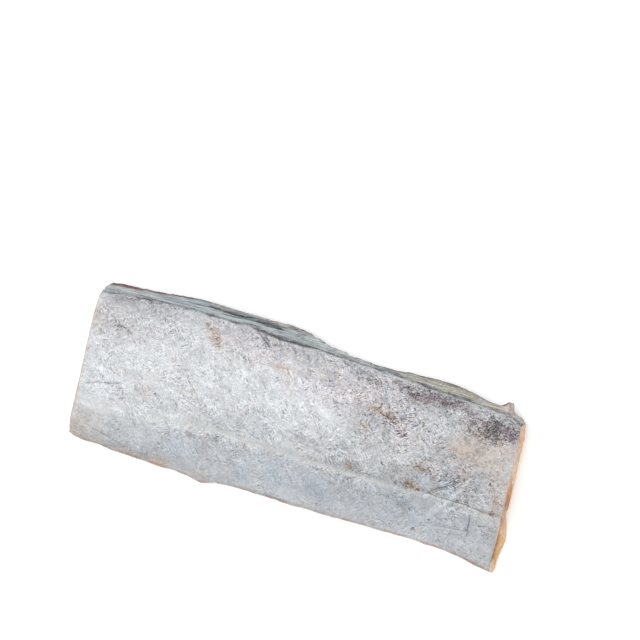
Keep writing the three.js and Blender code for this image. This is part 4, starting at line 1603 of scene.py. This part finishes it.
@dataclass
class FinRays:
    """The fin's loose rays: tapered strands that lie along the membrane and fray its edge."""

    fin: BackFin
    bunches: tuple[Bunch, ...] = (
        Bunch(74, (2.0, BODY_LENGTH - 12.0), (12.0, 26.0), (0.2, 0.7), (0.15, 0.5), (0.12, 0.24)),
        Bunch(46, (33.0, 66.0), (8.0, 17.0), (0.56, 0.74), (-0.04, 0.16), (0.11, 0.26), (0.6, 1.2)),
    )
    steps: int = 22
    sides: int = 7
    seed: int = 29
    margin: float = 1.2

    def strand(self, start: float, length: float, low: float, high: float, radius: float,
               side: int) -> Mesh:
        """Builds one strand on a face of the membrane.

        Its middle line runs along the fin from the share low to the share high of the way to the edge, and
        its radius is a sine to the power 0.6, so that both ends are fine.

        Args:
            start: Place where the strand starts.
            length: How far it runs along the body.
            low: Share of the way out at its start.
            high: Share of the way out at its end.
            radius: Greatest radius.
            side: 1 on the upper face, -1 on the lower.

        Returns:
            The strand, closed at both ends.
        """
        t = np.linspace(0, 1, self.steps)
        place = np.clip(start + length * t, self.margin, BODY_LENGTH - self.margin)
        share = mix(low, high, t**1.2)
        y = self.fin.reach(place, share)
        z = self.fin.height(place, share) + side * (self.fin.half(share) + 0.25 * radius)
        tail, head = self.fin.form.cuts(y, y * 0 + 0.5)
        x = mix(tail, head, place / BODY_LENGTH)
        width = radius * np.sin(np.pi * np.clip(t, 0.01, 0.99)) ** 0.6
        points, faces = tube(np.stack([x, y, z], axis=1), width, self.sides)
        caps = [list(range(self.sides))[::-1], list(range(len(points) - self.sides, len(points)))]
        looks = stain(FIN_STAINS_AND_SHADING, points[:, 0], points[:, 1])
        looks |= {key: np.zeros(len(points)) for key in ("strand", "fringe")}
        return Mesh(points, faces.tolist() + caps, looks)

    def build(self) -> Mesh:
        """Builds every strand from seeded draws, every fourth on the lower face, and joins them.

        Returns:
            The strands as one mesh with its attributes.
        """
        draw = np.random.default_rng(self.seed)
        strands = []
        for bunch in self.bunches:
            for _ in range(bunch.count):
                spans = (bunch.start, bunch.length, bunch.low, bunch.rise, bunch.radius)
                start, length, low, rise, radius = (draw.uniform(*span) for span in spans)
                side = -1 if len(strands) % 4 == 3 else 1
                strand = self.strand(start, length, low, min(low + rise, 1.0), radius, side)
                if bunch.ink:
                    strand.attributes["strand"] += draw.uniform(*bunch.ink)
                strands.append(strand)
        return join(strands)

    def dress(self, membrane: bpy.types.Material) -> bpy.types.Object:
        """Places the strands and gives them the fin's finish.

        Args:
            membrane: The fin's material.

        Returns:
            The strands' object.
        """
        piece = self.build().place("fin_rays", "fin")
        piece.data.materials.append(membrane)
        return piece


# Studio.


@dataclass(frozen=True)
class Studio:
    """The pale table, the soft light and the camera."""

    lens: float = 180.0
    distance: float = 1.28
    tilt: float = 8.0
    roll: float = 18.0
    aim: Range = (86.5, 74.2)
    sensor: float = 36.0
    clip: Range = (0.01, 20.0)
    table_size: float = 6.0
    table_drop: float = 0.0002
    table_glow: float = 0.12
    table_colour: Colour = (250, 250, 250)
    table_roughness: float = 0.9
    table_gloss: float = 0.2
    sky: float = 0.78
    lamp_power: float = 12.5
    lamp_size: float = 1.3
    lamp_place: tuple[float, float, float] = (-0.25, 0.02, 1.35)

    def table(self) -> None:
        """Lays the table as one pale square just under the fish."""
        half = self.table_size / 2
        mesh = bpy.data.meshes.new("table")
        square = [(half * x, half * y, -self.table_drop) for x, y in ((-1, -1), (1, -1), (1, 1), (-1, 1))]
        mesh.from_pydata(square, [], [(0, 1, 2, 3)])
        table = bpy.data.objects.new("table", mesh)
        bpy.context.scene.collection.objects.link(table)
        bench = Bench("pale_table")
        bench.plug(bench.surface, {
            "Base Color": srgb(*self.table_colour), "Emission Color": WHITE,
            "Emission Strength": self.table_glow, "Roughness": self.table_roughness,
            "Specular IOR Level": self.table_gloss,
        })
        mesh.materials.append(bench.material)

    def light(self) -> None:
        """Sets an even pale sky and one large lamp, up and to the left in the picture."""
        world = bpy.data.worlds.new("sky")
        world.use_nodes = True
        background = world.node_tree.nodes["Background"]
        background.inputs["Color"].default_value = WHITE
        background.inputs["Strength"].default_value = self.sky
        bpy.context.scene.world = world
        lamp = bpy.data.lights.new("window", "AREA")
        lamp.shape, lamp.size, lamp.energy = "DISK", self.lamp_size, self.lamp_power
        holder = bpy.data.objects.new("window", lamp)
        holder.location = self.lamp_place
        holder.rotation_euler = Vector(self.lamp_place).to_track_quat("Z", "Y").to_euler()
        bpy.context.scene.collection.objects.link(holder)

    def camera(self) -> None:
        """Stands the camera over the fish, tilted towards its head-side cut and rolled as in the picture."""
        tilt, roll = math.radians(self.tilt), math.radians(self.roll)
        back = Vector((math.sin(tilt), 0.0, math.cos(tilt)))
        up = Vector((-math.sin(roll), math.cos(roll), 0.0))
        up = (up - up.dot(back) * back).normalized()
        right = up.cross(back)
        data = bpy.data.cameras.new("camera")
        data.lens, data.sensor_width = self.lens, self.sensor
        data.clip_start, data.clip_end = self.clip
        camera = bpy.data.objects.new("camera", data)
        aim = Vector((self.aim[0] - CENTRE[0], self.aim[1] - CENTRE[1], 0.0)) / METRE
        place = aim + back * self.distance
        turn = Matrix((right, up, back)).transposed().to_4x4()
        camera.matrix_world = Matrix.Translation(place) @ turn
        bpy.context.scene.collection.objects.link(camera)
        bpy.context.scene.camera = camera

    def set_up(self) -> None:
        """Makes the table, the light, the camera and plain colour handling."""
        self.table()
        self.light()
        self.camera()
        bpy.context.scene.view_settings.view_transform = "Standard"


def main() -> None:
    """Builds the fish and its studio in order, and reports each piece."""
    logging.basicConfig(level=logging.INFO, format="%(name)s: %(message)s")
    form = FishForm()
    membrane = FinMembrane().material()
    pieces = [FishBody(form).dress(SilverSkin().material(), CutFlesh().material())]
    fin = BackFin(form)
    pieces += [fin.dress(membrane), FinRays(fin).dress(membrane)]
    for piece in pieces:
        mesh = piece.data
        log.info("%s: %d points, %d faces, %.1f x %.1f x %.1f mm", piece.name, len(mesh.vertices),
                 len(mesh.polygons), *(METRE * side for side in piece.dimensions))
    Studio().set_up()
    bpy.context.view_layer.update()


if __name__ == "__main__":
    main()
